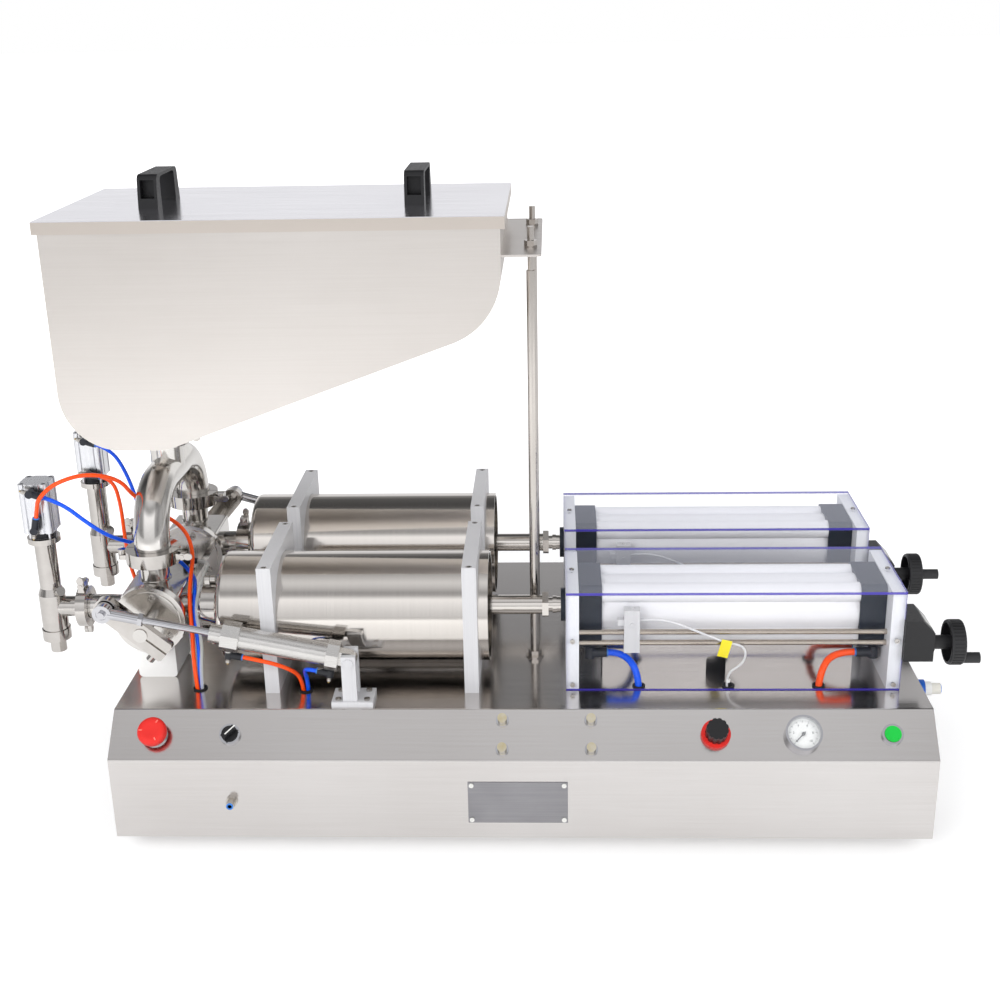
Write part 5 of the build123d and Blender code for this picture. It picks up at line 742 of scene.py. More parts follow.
def repeat(name: str, tree: Tree, mesh: Mesh, finish: str, values: dict[str, object]) -> Mesh:
    """Run a tree on a mesh and keep the result as a plain mesh.

    Args:
        name: The piece's name.
        tree: The tree.
        mesh: The mesh that goes into it.
        finish: The finish of what it makes.
        values: Its other inputs by name.

    Returns:
        The new mesh.
    """
    carrier = link(f"{name}_points", mesh)
    modifier = carrier.modifiers.new("repeat", "NODES")
    modifier.node_group = tree
    values = {**values, "Finish": dressing(finish)}
    for item in tree.interface.items_tree:
        if item.in_out == "INPUT" and item.name in values:
            modifier[item.identifier] = values[item.name]
    made = evaluated(carrier)
    bpy.data.objects.remove(carrier)
    return made


def ring_of_bars(name: str, count: int, radius: float, bar: Spot, start: float, step: float, place: Matrix,
                 finish: str) -> Piece:
    """Bars round an arc in a place's local XY plane.

    Args:
        name: The piece's name.
        count: How many bars.
        radius: The arc's radius in millimetres.
        bar: Each bar's size in millimetres: outwards, along the arc, along local Z.
        start: The first bar's angle in degrees.
        step: The angle between bars in degrees.
        place: Where the ring stands.
        finish: Its finish.

    Returns:
        The new piece.
    """
    values = {"Count": count, "Radius": radius * MM, "Start": math.radians(start), "Step": math.radians(step),
              "Bar": metres([bar])[0]}
    mesh = repeat(name, ring_tree(), bpy.data.meshes.new(f"{name}_seed"), finish, values)
    mesh.transform(place)
    return add_piece(name, mesh, finish, SHARP_REPEATED)


def screw_heads(name: str, seats: Seats, radius: float, height: float, socket: float, finish: str) -> Piece:
    """Screw heads with hexagon sockets.

    Args:
        name: The piece's name.
        seats: Each screw's seat in millimetres and the way its head faces.
        radius: The head's radius in millimetres.
        height: The head's height in millimetres.
        socket: The hexagon socket's radius in millimetres.
        finish: Its finish.

    Returns:
        The new piece.
    """
    mesh = bpy.data.meshes.new(f"{name}_seats")
    mesh.from_pydata(metres([point for point, way in seats]), [], [])
    facing = mesh.attributes.new("facing", "FLOAT_VECTOR", "POINT")
    facing.data.foreach_set("vector", np.array([way for point, way in seats], np.float32).ravel())
    values = {"Head Radius": radius * MM, "Head Height": height * MM, "Socket Radius": socket * MM}
    return add_piece(name, repeat(name, screw_tree(), mesh, finish, values), finish, SHARP_REPEATED)


# the studio


@dataclass
class Studio:
    """Camera, floor, lamps and world."""

    camera_place: Point = (0.08254, -1.93687, 1.13088)
    camera_angles: Point = (2.319, 20.067, -1.1395)
    focal_length: float = 50.21
    sensor: float = 36.0
    clip_end: float = 200.0
    floor_half: float = 30.0
    floor_grey: float = 0.86
    floor_roughness: float = 0.9
    floor_glow: Span = (0.9, 2.2, 0.30, 1.0)
    floor_mirrored: float = 0.13
    room_light: Span = (0.70, 0.70, 0.71, 1)
    right_side: Span = (0.08, 0.30, 1.0, 2.4)
    right_most: float = 0.95
    front_to_back: Span = (-0.35, 0.35, 0.0, 1.0)
    blue_share: float = 1.01
    behind: Stops = ((0.0, 0.90), (0.17, 0.90), (0.30, 0.62), (0.44, 0.26), (0.58, 0.12), (0.87, 0.08),
                     (0.98, 0.12))
    before: Stops = ((0.0, 0.80), (0.11, 0.84), (0.34, 1.0), (0.57, 1.2), (0.68, 0.50), (0.75, 0.40),
                     (0.86, 0.70), (0.95, 0.88))
    flags: Stops = ((0.0, 1.0), (0.50, 1.0), (0.62, 0.45), (0.82, 0.28), (0.95, 0.50))

    def camera(self) -> None:
        """Set the camera at the photograph's place."""
        yaw, pitch, roll = (math.radians(angle) for angle in self.camera_angles)
        data = bpy.data.cameras.new("photo_camera")
        data.sensor_width, data.lens, data.clip_end = self.sensor, self.focal_length, self.clip_end
        camera = link("photo_camera", data)
        turn = Matrix.Rotation(yaw, 4, "Z") @ Matrix.Rotation(math.pi / 2 - pitch, 4, "X")
        place = Matrix.Translation(self.camera_place)
        camera.matrix_world = place @ turn @ Matrix.Rotation(roll, 4, "Z")
        bpy.context.scene.camera = camera

    def floor(self) -> None:
        """Lay a plain pale floor that keeps the machine's shadow."""
        half = self.floor_half
        mesh = bpy.data.meshes.new("studio_floor")
        corners = [(-half, -half, 0), (half, -half, 0), (half, half, 0), (-half, half, 0)]
        mesh.from_pydata(corners, [], [(0, 1, 2, 3)])
        material, graph, shader, place = new_material("studio_floor")
        rays = graph.add("ShaderNodeLightPath").outputs
        rise = graph.span(graph.vector("LENGTH", place), *self.floor_glow)
        direct = graph.math("MULTIPLY", rays["Is Camera Ray"], rise)
        mirrored = graph.math("MULTIPLY", rays["Is Glossy Ray"], self.floor_mirrored)
        graph.fill(shader, Base_Color=(*[self.floor_grey] * 3, 1), Roughness=self.floor_roughness,
                   Emission_Color=(1, 1, 1, 1), Emission_Strength=graph.math("ADD", direct, mirrored))
        mesh.materials.append(material)
        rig.stage(link("studio_floor", mesh))

    def lamp(self, name: str, place: Point, target: Point, size: tuple[float, float], power: float) -> None:
        """Hang one soft lamp.

        Args:
            name: The lamp's name.
            place: Where it hangs, in millimetres.
            target: What it points at.
            size: Its width and height in metres.
            power: Its power in watts.
        """
        data = bpy.data.lights.new(name, "AREA")
        data.shape = "RECTANGLE"
        data.size, data.size_y = size
        data.energy = power
        lamp = link(name, data)
        lamp.matrix_world = place_at(place, Vector(place) - Vector(target))
        lamp.visible_glossy = False

    def ramp(self, graph: Graph, value: Socket, stops: Stops) -> Socket:
        """Add a grey ramp.

        Args:
            graph: The world's graph.
            value: The number that it reads.
            stops: Pairs of place and brightness.

        Returns:
            The ramp's grey.
        """
        node = graph.add("ShaderNodeValToRGB", Fac=value)
        elements = node.color_ramp.elements
        while len(elements) < len(stops):
            elements.new(0.5)
        for element, (place, grey) in zip(elements, stops):
            element.position = place
            element.color = (grey, grey, grey * self.blue_share, 1)
        return node.outputs[0]

    def world(self) -> None:
        """Light the machine evenly, with a pale backdrop and a darker upper room in its reflections."""
        world = bpy.data.worlds.new("studio")
        bpy.context.scene.world = world
        world.use_nodes = True
        graph = Graph(world.node_tree)
        way = graph.add("ShaderNodeTexCoord").outputs["Generated"]
        x, y, z = graph.add("ShaderNodeSeparateXYZ", Vector=way).outputs
        right = graph.span(x, *self.right_side)
        rear = graph.vector("SCALE", self.ramp(graph, z, self.behind), Scale=right)
        capped = graph.vector("MINIMUM", rear, (self.right_most,) * 3)
        depth = graph.span(y, *self.front_to_back)
        room = graph.mix(depth, self.ramp(graph, z, self.before), capped)
        lit = graph.vector("MULTIPLY", room, self.ramp(graph, graph.math("ABSOLUTE", x), self.flags))
        rays = graph.add("ShaderNodeLightPath").outputs
        glossy = graph.mix(rays["Is Glossy Ray"], self.room_light, lit)
        direct = graph.math("MAXIMUM", rays["Is Camera Ray"], rays["Is Transmission Ray"])
        graph.fill(graph.tree.nodes["Background"], Color=graph.mix(direct, glossy, (1, 1, 1, 1)))

    def build(self) -> None:
        """Set up the whole studio."""
        self.camera()
        self.floor()
        self.lamp("key_softbox", (-1400, -2200, 1500), (-100, 0, 400), (2.2, 1.6), 44)
        self.lamp("fill_softbox", (2200, -1800, 1100), (100, 0, 400), (1.6, 1.6), 26)
        self.lamp("top_softbox", (0, 600, 2800), (0, 0, 300), (2.6, 1.2), 12)
        self.world()
        bpy.context.scene.view_settings.view_transform = "Standard"
        log.info("studio: camera, floor, lamps and world")


# the machine's own measures, in millimetres


@dataclass(frozen=True)
class Unit:
    """One filling unit: its name, its axis, the side of its lever and the lever's angle."""

    name: str
    axis_y: float
    side: int
    lever_angle: float


UNITS = FRONT, REAR = (Unit("front", -93.5, -1, 139.0), Unit("rear", 148.5, 1, 49.0))
AXIS_Z = 296.0
VALVE_X = -493.5
CLEVIS_OFFSET = 111.0
SIDE_OFFSET = -58.5
SLOPE_UP = Vector((0, 52.5, 51)).normalized()
SLOPE_OUT = Vector((0, -51, 52.5)).normalized()
SLOPE_MIDDLE = Vector((0, -256.75, 174.5))


def round_valve(reach: float, angle: float) -> tuple[float, float]:
    """Give x and z of a place round a valve's axis, by its distance and its angle in degrees."""
    turn = math.radians(angle)
    return VALVE_X + reach * math.cos(turn), AXIS_Z + reach * math.sin(turn)


def panel_place(x: float, height: float = 0.0) -> Matrix:
    """Give the place on the slope's middle line at x along the machine, a height above the sheet."""
    return place_at(SLOPE_MIDDLE + SLOPE_OUT * height + Vector((x, 0, 0)), SLOPE_OUT, SLOPE_UP)


@dataclass
class CadDress:
    """Dresses the CAD nodes that stay."""

    nodes: dict[str, str] = field(default_factory=lambda: {
        "cabinet_steel": "base_cabinet drive_support_channels", "black_rubber": "rubber_feet deck_grommets",
        "turned_steel": "product_cylinders", "milled_aluminium": "cylinder_saddles clevis_feet",
        "silver_plate": "cover_end_plates", "clear_sheet": "clear_covers", "white_barrel": "drive_barrels",
        "navy_paint": "drive_end_caps", "slide_steel": "guide_rods",
        "hopper_steel": "hopper_shell hopper_bracket",
        "black_plastic": "stroke_counters lid_handles selector_knob regulator_knob",
        "dial_ink": "gauge_needle", "rod_steel": "hopper_support_rods", "manifold_steel": "inlet_manifold",
        "valve_steel": "valve_bodies", "white_plastic": "valve_feet",
        "polished_steel": "pipe_clamps nozzle_bodies", "lid_steel": "hopper_lid",
        "nozzle_aluminium": "nozzle_cylinders", "fitting_black": "push_in_fittings",
        "clear_lens": "gauge_lens", "chrome": "control_bezels gauge_body",
        "red_plastic": "regulator_body emergency_stop_head", "green_plastic": "start_button",
        "dark_steel": "socket_screws", "red_tube": "red_air_tubes",
        "blue_tube": "blue_air_tubes linkage_air_hoses", "grey_cable": "sensor_cables",
        "clear_hose": "clear_hose", "nickel_brass": "flow_knob_1 flow_knob_2 flow_knob_3 flow_knob_4",
    })
    unit_nodes: dict[str, str] = field(default_factory=lambda: {
        "turned_steel": "piston_rod", "valve_steel": "valve_rotor",
        "polished_steel": "valve_lever nozzle_plunger", "chrome": "swing_rod",
        "swing_aluminium": "swing_barrel", "wheel_plastic": "handwheel",
        "milled_aluminium": "sensor_carrier",
    })

    def build(self, nodes: dict[str, Piece]) -> None:
        """Give every CAD node its finish.

        Args:
            nodes: The CAD nodes by name.
        """
        table = {name: finish for finish, names in self.nodes.items() for name in names.split()}
        table |= {f"{unit.name}_{name}": finish for finish, names in self.unit_nodes.items()
                  for name in names.split() for unit in UNITS}
        for name, node in nodes.items():
            node.data.materials.clear()
            node.data.materials.append(dressing(table[name]))
        log.info("dressed %d CAD nodes", len(nodes))


@dataclass
class ClearCovers:
    """The clear sheets over the drives, with violet sawn edges."""

    left: float = 99.5
    right: float = 565.5
    half: float = 83.0
    inner_half: float = 79.2
    low: float = 200.3
    side_top: float = 345.9
    top_low: float = 346.2
    top: float = 350.0
    line: float = 0.6

    def sheet(self, name: str, low: Point, high: Point, edges: tuple[Point, ...]) -> None:
        """Make one sheet whose sawn faces have their own finish.

        Args:
            name: The piece's name.
            low: Lowest corner.
            high: Highest corner.
            edges: The ways that its sawn faces face.
        """
        work = bmesh.new()
        bmesh.ops.create_cube(work, size=1.0)
        bmesh.ops.scale(work, vec=[(b - a) * MM for a, b in zip(low, high)], verts=work.verts)
        bmesh.ops.translate(work, vec=[(a + b) / 2 * MM for a, b in zip(low, high)], verts=work.verts)
        line = (low[2] + self.line) * MM
        whole = [*work.verts, *work.edges, *work.faces]
        bmesh.ops.bisect_plane(work, geom=whole, plane_co=(0, 0, line), plane_no=(0, 0, 1))
        piece = add_piece(name, mesh_from(work, name), "clear_sheet", None)
        piece.data.materials.append(dressing("sheet_edge"))
        for face in piece.data.polygons:
            sawn = any(face.normal.dot(Vector(way)) > FACING for way in edges)
            face.material_index = int(sawn or (face.center.z < line and (0, 0, -1) in edges))
        declare(piece, "clear_sheet", node="clear_covers")

    def build(self) -> None:
        """Make the top, front and back sheet of both covers."""
        ends = ((-1, 0, 0), (1, 0, 0))
        for unit in UNITS:
            y = unit.axis_y
            self.sheet(f"{unit.name}_cover_top", (self.left, y - self.half, self.top_low),
                       (self.right, y + self.half, self.top), (*ends, (0, -1, 0), (0, 1, 0)))
            for part, near, far in (("front", -self.half, -self.inner_half),
                                    ("back", self.inner_half, self.half)):
                self.sheet(f"{unit.name}_cover_{part}", (self.left, y + near, self.low),
                           (self.right, y + far, self.side_top), (*ends, (0, 0, -1)))
        log.info("clear covers: 6 sheets")


@dataclass
class Fasteners:
    """Screw heads with sockets on the CAD screws."""

    saddle_xs: tuple[float, float] = (-316.5, -33.5)
    saddle_reach: float = 84.0
    saddle_seat: float = 386.75
    cover_xs: tuple[float, float] = (108.5, 556.5)
    cover_half: float = 83.0
    cover_top: float = 350.0
    cover_zs: tuple[float, float] = (209.0, 276.5)
    disc_front: float = 54.5
    disc_circle: float = 36.0
    disc_angles: tuple[float, ...] = (80.0, 200.0, 320.0)
    clevis_x: float = -197.5
    clevis_half: tuple[float, float] = (20.0, 13.5)
    clevis_top: float = 208.0

    def saddle(self, unit: Unit) -> Seats:
        """Seats of the long saddle bolts."""
        return [((x, unit.axis_y + edge * self.saddle_reach, self.saddle_seat), (0, 0, 1))
                for x in self.saddle_xs for edge in (-1, 1)]

    def cover(self, unit: Unit) -> Seats:
        """Seats of the clear covers' screws."""
        seats = []
        for x in self.cover_xs:
            seats.append(((x, unit.axis_y, self.cover_top), (0, 0, 1)))
            seats += [((x, unit.axis_y + edge * self.cover_half, z), (0, edge, 0))
                      for edge in (-1, 1) for z in self.cover_zs]
        return seats

    def disc(self, unit: Unit) -> Seats:
        """Seats of the screws on the valve's front plate."""
        return [((x, unit.axis_y - self.disc_front, z), (0, -1, 0))
                for x, z in (round_valve(self.disc_circle, angle) for angle in self.disc_angles)]

    def clevis(self, unit: Unit) -> Seats:
        """Seats of the screws of the clevis foot."""
        along, across = self.clevis_half
        y = unit.axis_y + unit.side * CLEVIS_OFFSET
        return [((self.clevis_x + dx, y + dy, self.clevis_top), (0, 0, 1))
                for dx in (-along, along) for dy in (-across, across)]

    def build(self) -> None:
        """Make the four kinds of screw, which stand for the CAD screws."""
        for name, find, *sizes in (
                ("saddle_bolt_heads", self.saddle, 4.25, 3.75, 2.4),
                ("cover_screw_heads", self.cover, 3.5, 1.8, 1.9),
                ("valve_screw_heads", self.disc, 5.0, 3.0, 2.8),
                ("clevis_screw_heads", self.clevis, 4.2, 2.5, 2.2)):
            seats = [seat for unit in UNITS for seat in find(unit)]
            declare(screw_heads(name, seats, *sizes, "screw_steel"), "dark_steel", node="socket_screws")
            log.info("%s: %d heads", name, len(seats))


@dataclass
class Controls:
    """What the panel's controls show: dial, emergency stop and pointer."""

    gauge_x: float = 419.5
    dial_radius: float = 21.9
    dial_height: float = 3.1
    dial_thickness: float = 0.6
    ink_height: float = 3.8
    first_mark: float = 225.0
    sweep: float = 270.0
    marks: tuple[tuple[str, int, float, Point], ...] = (
        ("gauge_ticks", 41, 18.8, (2.2, 0.25, 0.2)), ("gauge_marks", 11, 18.2, (3.6, 0.5, 0.3)))
    number_count: int = 6
    number_size: float = 4.6
    number_relief: float = 0.1
    number_circle: float = 13.2
    stop_x: float = -468.8
    stop_profile: Stops = (
        (-16, 0), (-16, 7.7), (8.3, 7.7), (8.3, 13), (8.8, 18.6), (9.8, 19.6), (12.0, 20), (17.5, 20),
        (20.4, 18.9), (22.2, 16.4), (23.1, 12.6), (22.4, 8), (22.0, 0))
    grip_height: float = 23.0
    grip_circle: float = 14.2
    grip: Point = (4.4, 1.6, 0.8)
    selector_x: float = -363.9
    pointer_height: float = 16.6
    pointer_turn: float = -45.0
    pointer_size: Point = (1.8, 18.0, 0.6)
    pointer_shift: float = 3.5

    def dial(self) -> None:
        """Make the gauge's white dial with its ticks and numbers."""
        radius, thickness = self.dial_radius, self.dial_thickness
        profile = [(0, 0), (0, radius), (thickness, radius), (thickness, 0)]
        declare(lathe("gauge_dial", profile, panel_place(self.gauge_x, self.dial_height), "dial_white"),
                "white_plastic")
        top = panel_place(self.gauge_x, self.ink_height)
        for name, count, circle, bar in self.marks:
            step = -self.sweep / (count - 1)
            ring = ring_of_bars(name, count, circle, bar, self.first_mark, step, top, "dial_ink")
            declare(ring, "black_plastic")
        self.numbers(top)

    def numbers(self, top: Matrix) -> None:
        """Set plain numbers round the dial.

        Args:
            top: The dial's face.
        """
        work = bmesh.new()
        for index in range(self.number_count):
            turn = math.radians(self.first_mark - self.sweep / (self.number_count - 1) * index)
            text = bpy.data.curves.new(f"number_{index}", "FONT")
            text.body = str(2 * index)
            text.size, text.extrude = self.number_size * MM, self.number_relief * MM
            text.align_x = text.align_y = "CENTER"
            holder = link(f"number_{index}", text)
            made = evaluated(holder)
            made.transform(moved(*(Vector((math.cos(turn), math.sin(turn), 0)) * self.number_circle)))
            work.from_mesh(made)
            bpy.data.objects.remove(holder)
        work.transform(top)
        mesh = bpy.data.meshes.new("gauge_numbers")
        work.to_mesh(mesh)
        work.free()
        declare(add_piece("gauge_numbers", mesh, "dial_ink", None), "black_plastic")

    def stop(self) -> None:
        """Make the emergency stop's domed head with its stem and three marks."""
        foot, top = panel_place(self.stop_x), panel_place(self.stop_x, self.grip_height)
        head = lathe("emergency_stop_mushroom", self.stop_profile, foot, "red_plastic", 64)
        declare(head, "red_plastic", "emergency_stop", "emergency_stop_head")
        marks = ring_of_bars("emergency_stop_grips", 3, self.grip_circle, self.grip, 60, 120, top,
                             "stop_mark")
        declare(marks, "red_plastic", "emergency_stop")

    def pointer(self) -> None:
        """Make the selector's pale pointer line."""
        turn = Matrix.Rotation(math.radians(self.pointer_turn), 4, "Z")
        place = panel_place(self.selector_x, self.pointer_height) @ turn @ moved(0, self.pointer_shift, 0)
        line = rounded_box("selector_pointer", self.pointer_size, place, "pale_ring", 0.2)
        declare(line, "white_plastic", "selector")

    def build(self) -> None:
        """Make every control detail."""
        self.dial()
        self.stop()
        self.pointer()
        log.info("controls: dial, emergency stop, pointer")


@dataclass
class BlankPlate:
    """The plain plate on the front wall with its rivets."""

    centre: Point = (31.9, -283.0, 84.6)
    size: Point = (137.0, 64.0, 1.0)
    inset: float = 5.0

    def build(self) -> None:
        """Make the plate and four rivets."""
        width, height, thickness = self.size
        place = place_at(self.centre, (0, -1, 0)) @ moved(0, 0, thickness / 2)
        declare(rounded_box("blank_plate", self.size, place, "plate_grey", 0.4), "dark_steel")
        across, up = width / 2 - self.inset, height / 2 - self.inset
        x, y, z = self.centre
        seats = [((x + dx, y - thickness, z + dz), (0, -1, 0))
                 for dx in (-across, across) for dz in (-up, up)]
        declare(screw_heads("plate_rivets", seats, 3.3, 1.6, 1.0, "pale_ring"), "chromed_rod")
        log.info("blank plate with 4 rivets")


@dataclass
class DriveEnds:
    """The handwheels' ribs and the stroke counters' pale windows."""

    rim_x: float = 641.9
    rim_z: float = 263.0
    rib_circle: float = 31.3
    ribs: int = 36
    rib: Point = (1.4, 2.4, 15.0)
    window: Point = (34.0, 15.0, 1.0)
    window_x: float = 598.0
    window_z: float = 299.0
    window_facing: Point = (18.0, 0, 17.0)
    window_lift: float = 0.3

    def wheel(self, unit: Unit) -> None:
        """Make the ribbed rim of a unit's handwheel."""
        place = place_at((self.rim_x, unit.axis_y + SIDE_OFFSET, self.rim_z), (1, 0, 0))
        piece = ring_of_bars(f"{unit.name}_wheel_ribs", self.ribs, self.rib_circle, self.rib, 0,
                             360 / self.ribs, place, "black_plastic")
        declare(piece, "black_plastic", f"{unit.name}_wheel")

    def counter(self, unit: Unit) -> None:
        """Make the window on the slope of a unit's counter."""
        centre = (self.window_x, unit.axis_y + SIDE_OFFSET, self.window_z)
        place = place_at(centre, self.window_facing, (-1, 0, 0)) @ moved(0, 0, self.window_lift)
        window = rounded_box(f"{unit.name}_counter_window", self.window, place, "window_pale", 0.3)
        declare(window, "white_plastic")

    def build(self) -> None:
        """Make the ribs of both wheels, then both windows."""
        for make, what in ((self.wheel, "handwheel ribs"), (self.counter, "counter windows")):
            for unit in UNITS:
                make(unit)
            log.info(what)


class TubeKind(Enum):
    """The tubes and cables: finish, slot and diameter in millimetres."""

    BLUE = ("blue_tube", "blue_tube", 6.0)
    RED = ("red_tube", "red_tube", 6.0)
    WIDE_BLUE = ("blue_tube", "blue_tube", 10.0)
    WIDE_RED = ("red_tube", "red_tube", 10.0)
    CABLE = ("grey_cable", "grey_cable", 3.2)
    CLEAR = ("clear_hose", "clear_tube", 5.0)


@dataclass
class Tube:
    """One tube between two places, by its route in millimetres."""

    name: str
    kind: TubeKind
    node: str
    points: list[Spot]
    length: float
    joins: tuple[str, Spot, Spot] | None = None
    pieces: tuple[Piece, ...] = ()

    def curve(self) -> Piece:
        """Make the tube's smooth line with its thickness."""
        finish, _, diameter = self.kind.value
        data = bpy.data.curves.new(self.name, "CURVE")
        data.dimensions, data.resolution_u = "3D", 10
        spline = data.splines.new("NURBS")
        spline.points.add(len(self.points) - 1)
        for point, place in zip(spline.points, metres(self.points)):
            point.co = (*place, 1)
        spline.order_u, spline.use_endpoint_u = 3, True
        data.bevel_depth, data.bevel_resolution, data.use_fill_caps = diameter / 2 * MM, 5, True
        data.materials.append(dressing(finish))
        return link(self.name, data)

    def line(self, curve: Piece) -> list[Point]:
        """Read points along the tube's smooth line.

        Args:
            curve: The tube's curve.

        Returns:
            Points in metres.
        """
        data = curve.data
        depth, data.bevel_depth, data.use_fill_caps = data.bevel_depth, 0, False
        points = [tuple(vertex.co) for vertex in evaluated(curve).vertices]
        data.bevel_depth, data.use_fill_caps = depth, True
        return points

    def build(self) -> None:
        finish, slot, diameter = self.kind.value
        piece, path = self.curve(), None
        if self.joins is None:
            declare(piece, slot, node=self.node)
        else:
            body, start, end = self.joins
            path, curve = self.line(piece), piece
            mesh = evaluated(curve)
            bpy.data.objects.remove(curve)
            piece = add_piece(self.name, mesh, finish)
            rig.slot(piece, slot)
            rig.replaces(piece, self.node)
            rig.blend(piece, "machine", body, *metres([start, end]))
        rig.cord(piece, exit=metres(self.points)[0], length=self.length * MM, diameter=diameter * MM,
                far_end="object", stiffness="medium", lay="loose", path=path, with_pieces=self.pieces)
        log.info("%s: %.0f mm", self.name, self.length)


@dataclass
class Pneumatics:
    """Every tube, hose and cable, with the fittings' release rings and adjusting screws."""

    nozzle_x: float = -650.0
    nozzle_port: float = 29.5
    nozzle_zs: tuple[float, float] = (481.0, 426.0)
    drive_xs: tuple[float, float] = (134.0, 535.5)
    drive_port: Point = (0, -38.5, 238.0)
    thin_reach: float = 19.6
    wide_reach: float = 26.0
    thin_body: float = 5.5
    wide_body: float = 7.5
    pivot: tuple[float, float] = (-200.5, 265.4)
    arm: float = 60.0
    elbow_drop: float = 28.5
    stations: tuple[float, float] = (166.05, 23.5)
    swing_hole: float = 80.5
    swing_xs: tuple[float, float] = (-273.8, -267.2)
    cable_hole: float = -69.5
    cable_x: float = 203.4
    pedal_mouth: Point = (-363.5, -297.0, 85.8)
    inlet_mouth: Point = (634.5, -133.0, 180.0)
    front_hole: tuple[float, float] = (-423.5, -169.0)
    rear_hole: tuple[float, float] = (-440.0, 63.0)

    def nozzle_mouths(self, unit: Unit) -> Mouths:
        """Where the upper and the lower tube of a nozzle start, and their directions."""
        lower = (0.22, 0, 0.97) if unit is FRONT else (0.98, 0, -0.2)
        centres = [Vector((self.nozzle_x, unit.axis_y - self.nozzle_port, z)) for z in self.nozzle_zs]
        ways = [Vector(way).normalized() for way in ((0.95, 0, -0.3), lower)]
        return [(centre + way * self.thin_reach, way) for centre, way in zip(centres, ways)]

    def drive_mouths(self, unit: Unit) -> Mouths:
        """Where the two tubes of a drive start, and their directions."""
        ways = (Vector((1, 0, 0)), Vector((-1, 0, 0)))
        _, y, z = self.drive_port
        return [(Vector((x, unit.axis_y + y, z)) + way * self.wide_reach, way)
                for x, way in zip(self.drive_xs, ways)]

    def swing_mouths(self, unit: Unit) -> Mouths:
        """Where the two hoses of a swing cylinder start, and their directions."""
        y = unit.axis_y + unit.side * CLEVIS_OFFSET
        eye_x, eye_z = round_valve(self.arm, unit.lever_angle)
        pivot = Vector((self.pivot[0], y, self.pivot[1]))
        along = (Vector((eye_x, y, eye_z)) - pivot).normalized()
        start = pivot + Vector((-along.z, 0, along.x)) * self.elbow_drop
        return [(start + along * (station + facing * self.thin_reach), along * facing)
                for station, facing in zip(self.stations, (-1, 1))]

    def nozzle_tubes(self) -> list[Tube]:
        """The four thin tubes of the nozzles."""
        (fx, fy), (rx, ry) = self.front_hole, self.rear_hole
        (f_up, f_up_way), (f_low, f_low_way) = self.nozzle_mouths(FRONT)
        (r_up, r_up_way), (r_low, r_low_way) = self.nozzle_mouths(REAR)
        return [
            Tube("front_nozzle_blue_tube", TubeKind.BLUE, "blue_air_tubes", [
                f_up, f_up + 25 * f_up_way, (-572, -118, 432), (-552, -88, 400), (-520, -55, 376),
                (-478, -40, 352), (-444, -66, 330), (-437, -98, 326), (-433, -130, 300), (-424, -154, 262),
                (fx, fy + 3.7, 226), (fx, fy + 3.7, 192)], 457.7),
            Tube("front_nozzle_red_tube", TubeKind.RED, "red_air_tubes", [
                f_low, f_low + 14 * f_low_way, (-635, -134, 477), (-610, -134, 500), (-568, -120, 510),
                (-534, -82, 488), (-528, -48, 450), (-497, -25, 415), (-462, -30, 392), (-447, -50, 362),
                (-445, -88, 336), (-440, -124, 314), (-433, -148, 280), (-430, -168, 234),
                (fx - 3.2, fy - 1.9, 192)], 568.3),
            Tube("rear_nozzle_blue_tube", TubeKind.BLUE, "blue_air_tubes", [
                r_up, r_up + 25 * r_up_way, (-586, 117, 425), (-572, 112, 372), (-560, 106, 322),
                (-545, 92, 272), (-515, 78, 236), (-472, 70, 224), (rx, ry + 3.7, 220),
                (rx, ry + 3.7, 192)], 380.4),
            Tube("rear_nozzle_red_tube", TubeKind.RED, "red_air_tubes", [
                r_low, r_low + 20 * r_low_way, (-601, 112, 378), (-599, 106, 322), (-594, 104, 268),
                (-576, 94, 228), (-532, 76, 214), (-470, 60, 216), (rx, ry - 3.7, 216),
                (rx, ry - 3.7, 191)], 375.9),
        ]

    def drive_tubes(self, unit: Unit) -> list[Tube]:
        """The two wide tubes under a drive."""
        hole_y = unit.axis_y + self.cable_hole
        choices = ((TubeKind.WIDE_BLUE, "blue_air_tubes", 202.5, 22, 90.7),
                   (TubeKind.WIDE_RED, "red_air_tubes", 455.5, 30, 100.1))
        return [Tube(f"{unit.name}_drive_{kind.name.lower()}_tube", kind, node, [
            mouth, mouth + run * way, (x, hole_y, mouth.z - 17), (x, hole_y, 188)], length)
            for (mouth, way), (kind, node, x, run, length) in zip(self.drive_mouths(unit), choices)]

    def swing_hoses(self, unit: Unit) -> list[Tube]:
        """The two hoses under a swing cylinder, which follow it."""
        (red, red_way), (blue, blue_way) = self.swing_mouths(unit)
        side, body = unit.side, f"{unit.name}_swing_cylinder"
        y = unit.axis_y + side * self.swing_hole
        lengths = {"front": (129.0, 81.7), "rear": (134.6, 84.2)}[unit.name]
        x, far = self.swing_xs
        return [
            Tube(f"{unit.name}_swing_red_hose", TubeKind.RED, "linkage_air_hoses", [
                red, red + 28 * red_way, (x - 18, y + side * 22, 247), (x, y + side * 2, 222), (x, y, 190)],
                lengths[0], (body, (x, y, 215), red + 6 * red_way)),
            Tube(f"{unit.name}_swing_blue_hose", TubeKind.BLUE, "linkage_air_hoses", [
                blue, blue + 12 * blue_way, (far - 1.5, y + side * 14, 238), (far, y, 216), (far, y, 191)],
                lengths[1], (body, (far, y, 214), blue + 3 * blue_way)),
        ]

